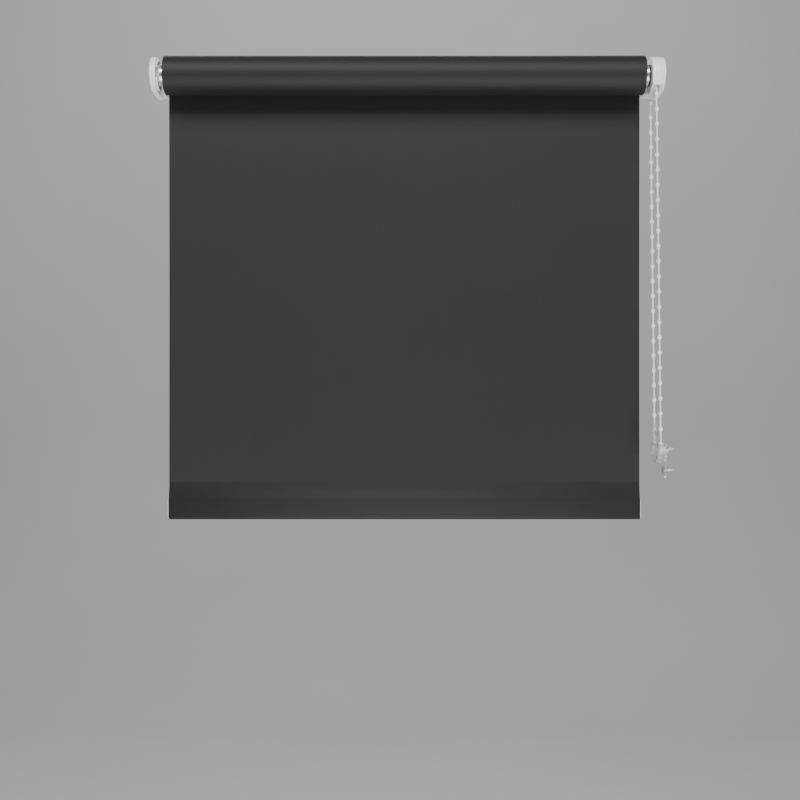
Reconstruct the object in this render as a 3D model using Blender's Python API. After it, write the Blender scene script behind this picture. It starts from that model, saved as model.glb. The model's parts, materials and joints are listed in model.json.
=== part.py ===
"""Chain-operated roller blind, modelled as an assembly of separate parts.

Frame: metres, +Z up, X along the roller, -Y towards the room, and the wall plane at Y = 0.
The origin is the centre of the left bracket's wall face, level with the roller's axis.
"""

import math

import bmesh
import bpy
from mathutils import Matrix, Vector

# ---- Driving dimensions (metres) ----
CLEARANCE = 0.0003

FABRIC_WIDTH = 0.468
FABRIC_THICKNESS = 0.00045
ROLL_RADIUS = 0.0188
DROP_LENGTH = 0.4149

AXIS_FROM_WALL = 0.025
TUBE_RADIUS = 0.0105
TUBE_WALL = 0.0008
TUBE_OVERHANG = 0.0044
KEYWAY_WIDTH = 0.004
KEYWAY_DEPTH = 0.0013

BRACKET_RADIUS = 0.017
LEFT_CHEEK = 0.0028
LEFT_COVER = 0.0026
RIGHT_CHEEK = 0.0024
RIGHT_COVER = 0.0021
FOOT_WIDTH = 0.022
FOOT_THICKNESS = 0.0025
FOOT_HEIGHT = 0.032
BOSS_RADIUS = 0.0065
BOSS_HEIGHT = 0.0016
RING_RADIUS = 0.0143
RING_WALL = 0.001
RING_MOUTH = 0.0098
COVER_PEG_RADIUS = 0.0012
COVER_PEG_REACH = 0.002
COVER_PEG_SPACING = 0.022
COVER_BEVEL = 0.0006

SCREW_SPACING = 0.018
SCREW_RADIUS = 0.0019
SCREW_HEAD_RADIUS = 0.0036
SCREW_HEAD_DEPTH = 0.0017
SCREW_LENGTH = 0.019

PLUG_FLANGE = 0.0007
PLUG_LENGTH = 0.034
PLUG_BORE = 0.0063
PLUG_END_WALL = 0.002
BUSH_LENGTH = 0.014
PIN_RADIUS = 0.003
PIN_COLLAR_RADIUS = 0.0059
PIN_COLLAR_WIDTH = 0.002
PIN_TAIL = 0.0025
PIN_SPRING_RADIUS = 0.0046
PIN_SPRING_WIRE = 0.00045
PIN_SPRING_TURNS = 7

BARREL_FLANGE = 0.001
BARREL_LENGTH = 0.0307
BARREL_BORE = 0.0073
BARREL_END_WALL = 0.0025
BARREL_RIB_WIDTH = 0.0036
BARREL_RIB_RADIUS = 0.0063
SLEEVE_RADIUS = 0.0069
SLEEVE_BORE = 0.006
SLEEVE_LENGTH = 0.0265
SLEEVE_SLOT_WIDTH = 0.0056
HUB_BORE = 0.0048
CORE_RADIUS = 0.0045
CORE_FLANGE = 0.0014
CORE_TONGUE = 0.0068
BRAKE_SPRING_WIRE = 0.00045
BRAKE_SPRING_RADIUS = 0.00525
BRAKE_SPRING_TURNS = 6
BRAKE_SPRING_PITCH = 0.0013
BRAKE_SPRING_GAP = 0.0035
CLIP_RADIUS = 0.0066
CLIP_WIDTH = 0.0011

GUARD_WALL = 0.0009
GUARD_ROOM = 0.0003
GUARD_SKIRT = 0.0135
GUARD_LIP = 0.0004
WHEEL_WIDTH = 0.005
WHEEL_RIM = 0.0005
WHEEL_GROOVE_DEPTH = 0.0025
WHEEL_GROOVE_WIDTH = 0.0026
WHEEL_POCKETS = 6

CHAIN_PITCH = 0.01475
CHAIN_BEADS = 55
BEAD_RADIUS = 0.00215
BEAD_HALF_FLAT = 0.0011
BEAD_HALF_LENGTH = 0.002
CHAIN_CORD_RADIUS = 0.00085
FIRST_BEAD_DROP = 0.0215
CONNECTOR_LENGTH = 0.011
CONNECTOR_RADIUS = 0.0031
CONNECTOR_BEAD = 28

REVEAL_GAP = 0.002
TENSIONER_PLATE = 0.002
TENSIONER_COVER = 0.0014
TENSIONER_CHAIN_INSET = 0.0068
TENSIONER_TOP = 0.0014
TENSIONER_WALL = 0.0012
TENSIONER_CHANNEL_ROOM = 0.00035
TENSIONER_TAB_WIDTH = 0.016
TENSIONER_TAB_DROP = 0.0145
TENSIONER_TAB_CORNER = 0.003
TENSIONER_UPPER_SCREW = 0.0045
TENSIONER_SCREW_LENGTH = 0.012
TENSIONER_WINDOW = 0.0052

HEM_THICKNESS = 0.007
HEM_HEIGHT = 0.021
BAR_WALL = 0.0009
BAR_SETBACK = 0.001
CAP_PLATE = 0.0009
CAP_TONGUE = 0.012
HEM_CAP_INSET = 0.0002

ROUND_STEPS = 36
SMALL_ROUND_STEPS = 20

# ---- Stations along X, from the left bracket to the reveal on the right ----
LEFT_CHEEK_OUT = -FOOT_WIDTH / 2
LEFT_CHEEK_IN = LEFT_CHEEK_OUT + LEFT_CHEEK
BOSS_FACE = LEFT_CHEEK_IN + BOSS_HEIGHT
PLUG_START = BOSS_FACE + CLEARANCE
TUBE_START = PLUG_START + PLUG_FLANGE + CLEARANCE
FABRIC_START = TUBE_START + TUBE_OVERHANG
FABRIC_END = FABRIC_START + FABRIC_WIDTH
TUBE_END = FABRIC_END + TUBE_OVERHANG
BARREL_END = TUBE_END + CLEARANCE + BARREL_FLANGE
GUARD_START = BARREL_END + CLEARANCE
WHEEL_START = GUARD_START + GUARD_WALL + CLEARANCE
WHEEL_END = WHEEL_START + WHEEL_WIDTH
CORE_FLANGE_START = WHEEL_END + CLEARANCE
GUARD_END = CORE_FLANGE_START + CORE_FLANGE
RIGHT_CHEEK_IN = GUARD_END + CLEARANCE
RIGHT_CHEEK_OUT = RIGHT_CHEEK_IN + RIGHT_CHEEK
RIGHT_OUTER = RIGHT_CHEEK_OUT + CLEARANCE + RIGHT_COVER
REVEAL = RIGHT_OUTER + REVEAL_GAP

# ---- Other derived places ----
AXIS_Y = -AXIS_FROM_WALL
TUBE_BORE = TUBE_RADIUS - TUBE_WALL
RIB_WIDTH = KEYWAY_WIDTH + 2 * TUBE_WALL
RIB_RADIUS = TUBE_RADIUS - KEYWAY_DEPTH - TUBE_WALL
FITTING_RADIUS = TUBE_BORE - CLEARANCE
FITTING_NOTCH_WIDTH = RIB_WIDTH + 2 * CLEARANCE
FITTING_NOTCH_RADIUS = RIB_RADIUS - CLEARANCE
PIN_HOLE = PIN_RADIUS + CLEARANCE
SCREW_HOLE = SCREW_RADIUS + CLEARANCE

WHEEL_X = (WHEEL_START + WHEEL_END) / 2
CHAIN_LENGTH = CHAIN_PITCH * CHAIN_BEADS
PITCH_RADIUS = CHAIN_PITCH * WHEEL_POCKETS / (2 * math.pi)
TENSIONER_X = REVEAL - TENSIONER_CHAIN_INSET
STRAND_LENGTH = CHAIN_LENGTH / 2 - math.pi * PITCH_RADIUS
STRAND_HEIGHT = math.sqrt(STRAND_LENGTH**2 - (TENSIONER_X - WHEEL_X) ** 2)
POCKET_RADIUS = BEAD_RADIUS + 2 * CLEARANCE
WHEEL_RADIUS = PITCH_RADIUS + WHEEL_RIM
WHEEL_GROOVE_RADIUS = PITCH_RADIUS - WHEEL_GROOVE_DEPTH
GUARD_RADIUS = PITCH_RADIUS + BEAD_RADIUS + GUARD_ROOM + GUARD_WALL

DROP_FRONT = AXIS_Y + ROLL_RADIUS + CLEARANCE
HEM_Y = DROP_FRONT + FABRIC_THICKNESS / 2
HEM_TOP = -DROP_LENGTH - CLEARANCE
HEM_Z = HEM_TOP - HEM_HEIGHT / 2


# ---- Building blocks ----
def material(name, colour, roughness, metallic=0.0, alpha=1.0):
    """A Principled BSDF with the given colour, roughness and metallic value."""
    made = bpy.data.materials.new(name)
    made.use_nodes = True
    shader = made.node_tree.nodes["Principled BSDF"]
    shader.inputs["Base Color"].default_value = (*colour, 1.0)
    shader.inputs["Roughness"].default_value = roughness
    shader.inputs["Metallic"].default_value = metallic
    shader.inputs["Alpha"].default_value = alpha
    made.diffuse_color = (*colour, alpha)
    return made


def finish(name, bm, stuff, smooth_angle=35.0, cutter=False):
    """Turn a bmesh into a scene object, with its faces pointing out and round sides smooth."""
    bmesh.ops.recalc_face_normals(bm, faces=bm.faces)
    mesh = bpy.data.meshes.new(name)
    bm.to_mesh(mesh)
    bm.free()
    mesh.shade_smooth()
    mesh.set_sharp_from_angle(angle=math.radians(smooth_angle))
    if stuff:
        mesh.materials.append(stuff)
    piece = bpy.data.objects.new(name, mesh)
    bpy.context.scene.collection.objects.link(piece)
    if cutter:
        piece.hide_render = True
        piece.display_type = "WIRE"
    return piece


def along_x(point, x):
    """A (Y, Z) outline point at station x."""
    return Vector((x, point[0], point[1]))


def about_x(centre, angle, radius):
    """The (Y, Z) point at an angle from +Y, turning towards +Z."""
    return (centre[0] + radius * math.cos(angle), centre[1] + radius * math.sin(angle))


def arc(centre, radius, start, end, steps):
    """Points on an arc, in degrees from +Y towards +Z, with both ends."""
    turn = math.radians(end - start) / steps
    return [about_x(centre, math.radians(start) + i * turn, radius) for i in range(steps + 1)]


AXIS = (AXIS_Y, 0.0)


def keyed_circle(radius, key_width=None, key_radius=None, steps=ROUND_STEPS, centre=AXIS):
    """A circle about the roller's axis, with a parallel-sided key or notch at its top if it has a width.

    Every outline has the same number of points, so any two can be joined point by point.
    """
    top = math.pi / 2
    if key_width is None:
        count = steps + 3
        spacing = 2 * math.pi / count
        return [about_x(centre, top + (i + 1.5) * spacing, radius) for i in range(count)]
    edge = math.asin(key_width / 2 / radius)
    foot = math.asin(key_width / 2 / key_radius)
    span = 2 * math.pi - 2 * edge
    body = [about_x(centre, top + edge + span * i / steps, radius) for i in range(steps + 1)]
    key = [about_x(centre, top - foot, key_radius), about_x(centre, top + foot, key_radius)]
    return body + key


def circle(radius, steps=ROUND_STEPS, centre=AXIS):
    """A plain circle of (Y, Z) points."""
    return [about_x(centre, 2 * math.pi * i / steps, radius) for i in range(steps)]


def lofted(rows, closed):
    """Join outlines point by point; closed joins the last to the first, otherwise both ends are capped."""
    bm = bmesh.new()
    rings = [[bm.verts.new(v) for v in row] for row in rows]
    pairs = list(zip(rings, rings[1:]))
    if closed:
        pairs.append((rings[-1], rings[0]))
    else:
        bm.faces.new(rings[0])
        bm.faces.new(rings[-1])
    for a, b in pairs:
        for i in range(len(a)):
            j = (i + 1) % len(a)
            bm.faces.new((a[i], a[j], b[j], b[i]))
    return bm


def turned(name, stations, stuff, closed=True, cutter=False):
    """A solid from (x, outline) stations: a ring if closed, else a bar with flat ends."""
    rows = [[along_x(p, x) for p in outline] for x, outline in stations]
    return finish(name, lofted(rows, closed), stuff, cutter=cutter)


def prism(name, outline, start, end, stuff=None, cutter=False):
    """A (Y, Z) outline extruded along X from start to end."""
    rows = [[along_x(p, x) for p in outline] for x in (start, end)]
    return finish(name, lofted(rows, closed=False), stuff, cutter=cutter)


def block(name, low, high, stuff=None, cutter=False):
    """A box between two corners."""
    outline = [(low[1], low[2]), (high[1], low[2]), (high[1], high[2]), (low[1], high[2])]
    return prism(name, outline, low[0], high[0], stuff, cutter)


def rod_cutter(name, centre, start, end, radius, axis="X"):
    """A round cutter along X, or along Y at centre = (x, z)."""
    if axis == "X":
        outline = circle(radius, SMALL_ROUND_STEPS, centre)
        return prism(name, outline, start, end, cutter=True)
    rows = [
        [Vector((centre[0] + p[0], y, centre[1] + p[1])) for p in circle(r, SMALL_ROUND_STEPS, (0, 0))]
        for y, r in ((start, radius[0]), (end, radius[1]))
    ]
    return finish(name, lofted(rows, closed=False), None, cutter=True)


def boolean(target, other, operation):
    """Add a Boolean modifier that keeps the other object as a hidden guide."""
    step = target.modifiers.new(f"{operation.lower()} {other.name}", "BOOLEAN")
    step.operation = operation
    step.solver = "EXACT"
    step.object = other


def helix(name, centre_radius, wire, start, length, turns, stuff, steps=12, sides=6):
    """A round-wire coil spring about the roller's axis, with flat-cut ends."""
    count = int(turns * steps)
    rise = length / (turns * 2 * math.pi * centre_radius)
    lean = math.atan(rise)
    rows = []
    for i in range(count + 1):
        angle = 2 * math.pi * turns * i / count
        x = start + length * i / count
        out = Vector((0, math.cos(angle), math.sin(angle)))
        across = Vector((math.cos(lean), math.sin(lean) * math.sin(angle), -math.sin(lean) * math.cos(angle)))
        middle = Vector((x, AXIS_Y, 0)) + out * centre_radius
        ring = [2 * math.pi * k / sides for k in range(sides)]
        rows.append([middle + (out * math.cos(a) + across * math.sin(a)) * wire for a in ring])
    return finish(name, lofted(rows, closed=False), stuff, smooth_angle=75)


# ---- Outlines ----
def cheek_outline(radius, back):
    """A bracket cheek seen from the side: a round nose in front and straight edges to the wall."""
    nose = arc(AXIS, radius, 90, 270, 24)
    return nose + [(back, -radius), (back, radius)]


def guard_outline(radius, skirt):
    """An arch over the chain wheel, with straight legs down to the skirt."""
    arch = arc(AXIS, radius, 0, 180, 24)
    return arch + [(AXIS_Y - radius, -skirt), (AXIS_Y + radius, -skirt)]


def stadium(width, height, centre, steps=10):
    """A flat oval, higher than it is wide."""
    r = width / 2
    rise = height / 2 - r
    top = arc((centre[0], centre[1] + rise), r, 0, 180, steps)
    bottom = arc((centre[0], centre[1] - rise), r, 180, 360, steps)
    return top + bottom


def trough(outer, inner, top):
    """A U-shaped channel about the chain's lower turn, open upwards."""
    centre = (AXIS_Y, -STRAND_HEIGHT)
    rim = top - STRAND_HEIGHT
    outside = arc(centre, outer, 180, 360, 24)
    inside = arc(centre, inner, 360, 180, 20)
    return (
        [(AXIS_Y - outer, rim)] + outside + [(AXIS_Y + outer, rim), (AXIS_Y + inner, rim)]
        + inside + [(AXIS_Y - inner, rim)]
    )


# ---- Materials ----
def make_materials():
    """One material for each kind of stuff."""
    return {
        "fabric": material("blackout_fabric", (0.040, 0.042, 0.042), 0.85),
        "white": material("white_plastic", (0.80, 0.80, 0.80), 0.35),
        "grey": material("grey_plastic", (0.55, 0.55, 0.56), 0.45),
        "dark": material("dark_plastic", (0.05, 0.05, 0.055), 0.5),
        "clear": material("clear_plastic", (0.90, 0.92, 0.93), 0.08, alpha=0.35),
        "aluminium": material("aluminium", (0.75, 0.76, 0.77), 0.25, 1.0),
        "steel": material("plated_steel", (0.70, 0.70, 0.72), 0.28, 1.0),
    }


# ---- Brackets ----
def add_foot_screw_holes(base, x):
    """Countersunk holes through a bracket's foot, at the screws' spacing."""
    for i, z in enumerate((SCREW_SPACING / 2, -SCREW_SPACING / 2)):
        past = CLEARANCE
        top = -FOOT_THICKNESS - past
        hole = rod_cutter(f"{base.name}_hole_{i}", (x, z), top, past, [SCREW_HOLE] * 2, "Y")
        wide = SCREW_HEAD_RADIUS + CLEARANCE
        slope = (wide - SCREW_HOLE) / SCREW_HEAD_DEPTH
        ends = [wide + past * slope, SCREW_HOLE]
        sink = rod_cutter(f"{base.name}_sink_{i}", (x, z), top, -FOOT_THICKNESS + SCREW_HEAD_DEPTH, ends, "Y")
        boolean(base, hole, "DIFFERENCE")
        boolean(base, sink, "DIFFERENCE")


def peg_places():
    """Where a bracket cover's two pegs sit, in Y and Z."""
    return [(AXIS_Y, s * COVER_PEG_SPACING / 2) for s in (1, -1)]


def bracket_base(name, cheek, foot, screw_x, stuff):
    """A cheek with a wall foot, peg holes for its cover and two screw holes."""
    base = prism(name, cheek_outline(BRACKET_RADIUS, 0.0), *cheek, stuff)
    low = (foot[0], -FOOT_THICKNESS, -FOOT_HEIGHT / 2)
    high = (foot[1], 0.0, FOOT_HEIGHT / 2)
    boolean(base, block(f"{name}_foot", low, high, cutter=True), "UNION")
    for i, place in enumerate(peg_places()):
        past = CLEARANCE
        ends = (cheek[0] - past, cheek[1] + past)
        hole = rod_cutter(f"{name}_peg_hole_{i}", place, *ends, COVER_PEG_RADIUS + CLEARANCE)
        boolean(base, hole, "DIFFERENCE")
    add_foot_screw_holes(base, screw_x)
    return base


def bracket_cover(name, inside, outside, stuff):
    """A thin cover over the cheek's outer side, with two pegs that enter the cheek."""
    inward = 1 if inside > outside else -1
    soft = COVER_BEVEL
    wide = cheek_outline(BRACKET_RADIUS, -CLEARANCE)
    narrow = cheek_outline(BRACKET_RADIUS - soft, -CLEARANCE - soft)
    rows = [(inside, wide), (outside + inward * soft, wide), (outside, narrow)]
    cover = turned(name, rows, stuff, closed=False)
    for i, place in enumerate(peg_places()):
        ends = sorted((inside - inward * soft, inside + inward * (CLEARANCE + COVER_PEG_REACH)))
        peg = rod_cutter(f"{name}_peg_{i}", place, *ends, COVER_PEG_RADIUS)
        boolean(cover, peg, "UNION")
    return cover


def screw(name, head, direction, length, stuff):
    """A countersunk screw whose head's top is centred at head, pointing along direction."""
    taper = 0.002
    shape = [
        (0.0, SCREW_HEAD_RADIUS),
        (SCREW_HEAD_DEPTH, SCREW_RADIUS),
        (length - taper, SCREW_RADIUS),
        (length, SCREW_RADIUS / 4),
    ]
    turn = Vector((0, 0, 1)).rotation_difference(Vector(direction)).to_matrix().to_4x4()
    place = Matrix.Translation(Vector(head)) @ turn
    ring = circle(1.0, 14, (0, 0))
    rows = [[place @ Vector((p[0] * r, p[1] * r, along)) for p in ring] for along, r in shape]
    return finish(name, lofted(rows, closed=False), stuff)


def make_brackets(stuff):
    """Both brackets, their covers and their wall screws."""
    left_x = LEFT_CHEEK_IN + (FOOT_WIDTH - LEFT_CHEEK) / 2
    right_x = RIGHT_CHEEK_IN - (FOOT_WIDTH - RIGHT_CHEEK) / 2
    left = bracket_base(
        "left_bracket_base",
        (LEFT_CHEEK_OUT, LEFT_CHEEK_IN),
        (LEFT_CHEEK_OUT + CLEARANCE, LEFT_CHEEK_OUT + FOOT_WIDTH),
        left_x,
        stuff["white"],
    )
    root = LEFT_CHEEK_IN - LEFT_CHEEK / 2
    boss = prism("left_boss", circle(BOSS_RADIUS), root, BOSS_FACE, cutter=True)
    boolean(left, boss, "UNION")
    outside = circle(RING_RADIUS)
    inside = circle(RING_RADIUS - RING_WALL)
    stations = [(root, inside), (root, outside), (BOSS_FACE, outside), (BOSS_FACE, inside)]
    ring = turned("left_ring", stations, None, cutter=True)
    past = 0.001
    low = (root - past, AXIS_Y - RING_RADIUS - past, -RING_MOUTH / 2)
    high = (BOSS_FACE + past, AXIS_Y - BOSS_RADIUS, RING_MOUTH / 2)
    boolean(ring, block("left_ring_mouth", low, high, cutter=True), "DIFFERENCE")
    boolean(left, ring, "UNION")
    socket = rod_cutter("left_pin_socket", AXIS, LEFT_CHEEK_OUT - past, BOSS_FACE + past, PIN_HOLE)
    boolean(left, socket, "DIFFERENCE")
    outer = LEFT_CHEEK_OUT - CLEARANCE
    bracket_cover("left_bracket_cover", outer, outer - LEFT_COVER, stuff["white"])

    right = bracket_base(
        "right_bracket_base",
        (RIGHT_CHEEK_IN, RIGHT_CHEEK_OUT),
        (RIGHT_CHEEK_OUT - FOOT_WIDTH, RIGHT_CHEEK_OUT - CLEARANCE),
        right_x,
        stuff["white"],
    )
    half = CORE_TONGUE / 2 + CLEARANCE
    low = (RIGHT_CHEEK_IN - past, AXIS_Y - half, -half)
    high = (RIGHT_CHEEK_OUT + past, AXIS_Y + half, half)
    boolean(right, block("right_core_socket", low, high, cutter=True), "DIFFERENCE")
    bracket_cover("right_bracket_cover", RIGHT_CHEEK_OUT + CLEARANCE, RIGHT_OUTER, stuff["white"])

    for side, x in (("left", left_x), ("right", right_x)):
        for level, z in (("upper", SCREW_SPACING / 2), ("lower", -SCREW_SPACING / 2)):
            head = (x, -FOOT_THICKNESS, z)
            screw(f"{side}_bracket_screw_{level}", head, (0, 1, 0), SCREW_LENGTH, stuff["steel"])


# ---- Idle end ----
def make_idle_end(stuff):
    """The sprung pin, its bush and spring, and the plug that carries them in the tube."""
    flange_end = PLUG_START + PLUG_FLANGE
    plug_end = flange_end + PLUG_LENGTH
    seat = plug_end - PLUG_END_WALL
    notched = keyed_circle(FITTING_RADIUS, FITTING_NOTCH_WIDTH, FITTING_NOTCH_RADIUS)
    stations = [
        (PLUG_START, keyed_circle(PLUG_BORE)),
        (PLUG_START, keyed_circle(TUBE_RADIUS)),
        (flange_end, keyed_circle(TUBE_RADIUS)),
        (flange_end, notched),
        (plug_end, notched),
        (plug_end, keyed_circle(PIN_HOLE)),
        (seat, keyed_circle(PIN_HOLE)),
        (seat, keyed_circle(PLUG_BORE)),
    ]
    turned("idle_plug", stations, stuff["white"])

    bush_start = PLUG_START + CLEARANCE
    bush_end = bush_start + BUSH_LENGTH
    outside = circle(PLUG_BORE - CLEARANCE, SMALL_ROUND_STEPS)
    inside = circle(PIN_HOLE, SMALL_ROUND_STEPS)
    ring = [(bush_start, inside), (bush_start, outside), (bush_end, outside), (bush_end, inside)]
    turned("idle_bush", ring, stuff["white"])

    collar = bush_end + CLEARANCE
    collar_end = collar + PIN_COLLAR_WIDTH
    tip = LEFT_CHEEK_OUT + CLEARANCE
    chamfer = 0.0008
    profile = [
        (tip, PIN_RADIUS - chamfer),
        (tip + chamfer, PIN_RADIUS),
        (collar, PIN_RADIUS),
        (collar, PIN_COLLAR_RADIUS),
        (collar_end, PIN_COLLAR_RADIUS),
        (collar_end, PIN_RADIUS),
        (plug_end + PIN_TAIL, PIN_RADIUS),
    ]
    rows = [(x, circle(r, SMALL_ROUND_STEPS)) for x, r in profile]
    turned("idle_pin", rows, stuff["steel"], closed=False)

    inset = CLEARANCE + PIN_SPRING_WIRE
    start = collar_end + inset
    length = seat - inset - start
    helix(
        "idle_pin_spring", PIN_SPRING_RADIUS, PIN_SPRING_WIRE, start, length, PIN_SPRING_TURNS, stuff["steel"]
    )


# ---- Tube and fabric ----
def make_roller(stuff):
    """The keyed tube, the strip that locks the fabric in its keyway, and the wound fabric."""
    outside = keyed_circle(TUBE_RADIUS, KEYWAY_WIDTH, TUBE_RADIUS - KEYWAY_DEPTH)
    inside = keyed_circle(TUBE_BORE, RIB_WIDTH, RIB_RADIUS)
    ends = [(TUBE_START, inside), (TUBE_START, outside), (TUBE_END, outside), (TUBE_END, inside)]
    turned("roller_tube", ends, stuff["aluminium"])

    side = KEYWAY_WIDTH / 2 - FABRIC_THICKNESS - CLEARANCE / 2
    floor = TUBE_RADIUS - KEYWAY_DEPTH + CLEARANCE
    top = math.sqrt(TUBE_RADIUS**2 - side**2)
    low = (FABRIC_START, AXIS_Y - side, floor)
    block("fabric_spline", low, (FABRIC_END, AXIS_Y + side, top), stuff["white"])

    steps = 56
    wound = circle(ROLL_RADIUS, steps)
    core = circle(TUBE_RADIUS + CLEARANCE, steps)
    ring = [(FABRIC_START, core), (FABRIC_START, wound), (FABRIC_END, wound), (FABRIC_END, core)]
    turned("fabric_roll", ring, stuff["fabric"])


def make_drop(stuff):
    """The hanging fabric, its hem pocket, and the bar and end caps inside the hem."""
    low = (FABRIC_START, DROP_FRONT, -DROP_LENGTH)
    block("fabric_drop", low, (FABRIC_END, DROP_FRONT + FABRIC_THICKNESS, 0.0), stuff["fabric"])

    centre = (HEM_Y, HEM_Z)

    def oval(inset):
        return stadium(HEM_THICKNESS - 2 * inset, HEM_HEIGHT - 2 * inset, centre)

    def sleeve(name, start, end, outer, wall, colour):
        inner = outer + wall
        ring = [(start, oval(inner)), (start, oval(outer)), (end, oval(outer)), (end, oval(inner))]
        turned(name, ring, colour)

    sleeve("hem_pocket", FABRIC_START, FABRIC_END, 0.0, FABRIC_THICKNESS, stuff["fabric"])
    bar_inset = FABRIC_THICKNESS + CLEARANCE
    ends = (FABRIC_START + BAR_SETBACK, FABRIC_END - BAR_SETBACK)
    sleeve("bottom_bar", *ends, bar_inset, BAR_WALL, stuff["aluminium"])

    plate = oval(HEM_CAP_INSET)
    tongue = oval(bar_inset + BAR_WALL + CLEARANCE)
    for side, edge, out in (("left", FABRIC_START, -1), ("right", FABRIC_END, 1)):
        face = edge + out * CLEARANCE
        rows = [
            (edge - out * CAP_TONGUE, tongue),
            (face, tongue),
            (face, plate),
            (face + out * CAP_PLATE, plate),
        ]
        turned(f"bottom_bar_cap_{side}", rows, stuff["grey"], closed=False)


# ---- Clutch end ----
def make_clutch(stuff):
    """The fixed core, wrap springs, chain wheel, drive barrel, clip and chain guard."""
    barrel_start = BARREL_END - BARREL_FLANGE - BARREL_LENGTH
    barrel_floor = barrel_start + BARREL_END_WALL
    notched = keyed_circle(FITTING_RADIUS, FITTING_NOTCH_WIDTH, FITTING_NOTCH_RADIUS)
    ribbed = keyed_circle(BARREL_BORE, BARREL_RIB_WIDTH, BARREL_RIB_RADIUS)
    through = keyed_circle(CORE_RADIUS + CLEARANCE)
    stations = [
        (barrel_start, through),
        (barrel_start, notched),
        (BARREL_END - BARREL_FLANGE, notched),
        (BARREL_END - BARREL_FLANGE, keyed_circle(TUBE_RADIUS)),
        (BARREL_END, keyed_circle(TUBE_RADIUS)),
        (BARREL_END, ribbed),
        (barrel_floor, ribbed),
        (barrel_floor, through),
    ]
    turned("drive_barrel", stations, stuff["dark"])

    make_chain_wheel(stuff)

    clip_groove = barrel_start - CLEARANCE - CLIP_WIDTH
    groove_radius = CORE_RADIUS - 3 * CLEARANCE
    profile = [
        (clip_groove - 2 * CLEARANCE - CLIP_WIDTH, CORE_RADIUS),
        (clip_groove - CLEARANCE, CORE_RADIUS),
        (clip_groove - CLEARANCE, groove_radius),
        (barrel_start, groove_radius),
        (barrel_start, CORE_RADIUS),
        (CORE_FLANGE_START, CORE_RADIUS),
        (CORE_FLANGE_START, GUARD_RADIUS - GUARD_WALL - CLEARANCE),
        (GUARD_END, GUARD_RADIUS - GUARD_WALL - CLEARANCE),
    ]
    core = turned("clutch_core", [(x, circle(r)) for x, r in profile], stuff["grey"], closed=False)
    half = CORE_TONGUE / 2
    low = (GUARD_END - CORE_FLANGE / 2, AXIS_Y - half, -half)
    high = (RIGHT_CHEEK_OUT, AXIS_Y + half, half)
    boolean(core, block("core_tongue", low, high, cutter=True), "UNION")

    inner = circle(groove_radius + CLEARANCE, SMALL_ROUND_STEPS)
    outer = circle(CLIP_RADIUS, SMALL_ROUND_STEPS)
    clip_end = clip_groove + CLIP_WIDTH
    ring = [(clip_groove, inner), (clip_groove, outer), (clip_end, outer), (clip_end, inner)]
    clip = turned("core_retaining_clip", ring, stuff["steel"])
    mouth = groove_radius * 0.7
    low = (clip_groove - CLEARANCE, AXIS_Y - mouth, -2 * CLIP_RADIUS)
    opening = block("clip_mouth", low, (clip_end + CLEARANCE, AXIS_Y + mouth, 0.0), cutter=True)
    boolean(clip, opening, "DIFFERENCE")

    length = BRAKE_SPRING_TURNS * BRAKE_SPRING_PITCH
    start = WHEEL_START - SLEEVE_LENGTH + BRAKE_SPRING_GAP
    for label in ("inner", "outer"):
        helix(
            f"brake_spring_{label}", BRAKE_SPRING_RADIUS, BRAKE_SPRING_WIRE, start, length,
            BRAKE_SPRING_TURNS, stuff["steel"],
        )
        start += length + BRAKE_SPRING_GAP

    outside = guard_outline(GUARD_RADIUS, GUARD_SKIRT)
    inside = guard_outline(GUARD_RADIUS - GUARD_WALL, GUARD_SKIRT + GUARD_WALL)
    guard = prism("chain_guard", outside, GUARD_START, GUARD_END, stuff["white"])
    past = GUARD_WALL
    disc = circle(GUARD_RADIUS + GUARD_LIP)
    cheek = prism("guard_cheek", disc, GUARD_START, GUARD_START + GUARD_WALL, cutter=True)
    boolean(guard, cheek, "UNION")
    room = prism("guard_room", inside, GUARD_START + GUARD_WALL, GUARD_END + past, cutter=True)
    hole = (GUARD_START - past, GUARD_START + 2 * past)
    boolean(guard, room, "DIFFERENCE")
    boolean(guard, rod_cutter("guard_hole", AXIS, *hole, SLEEVE_RADIUS + CLEARANCE), "DIFFERENCE")


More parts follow.
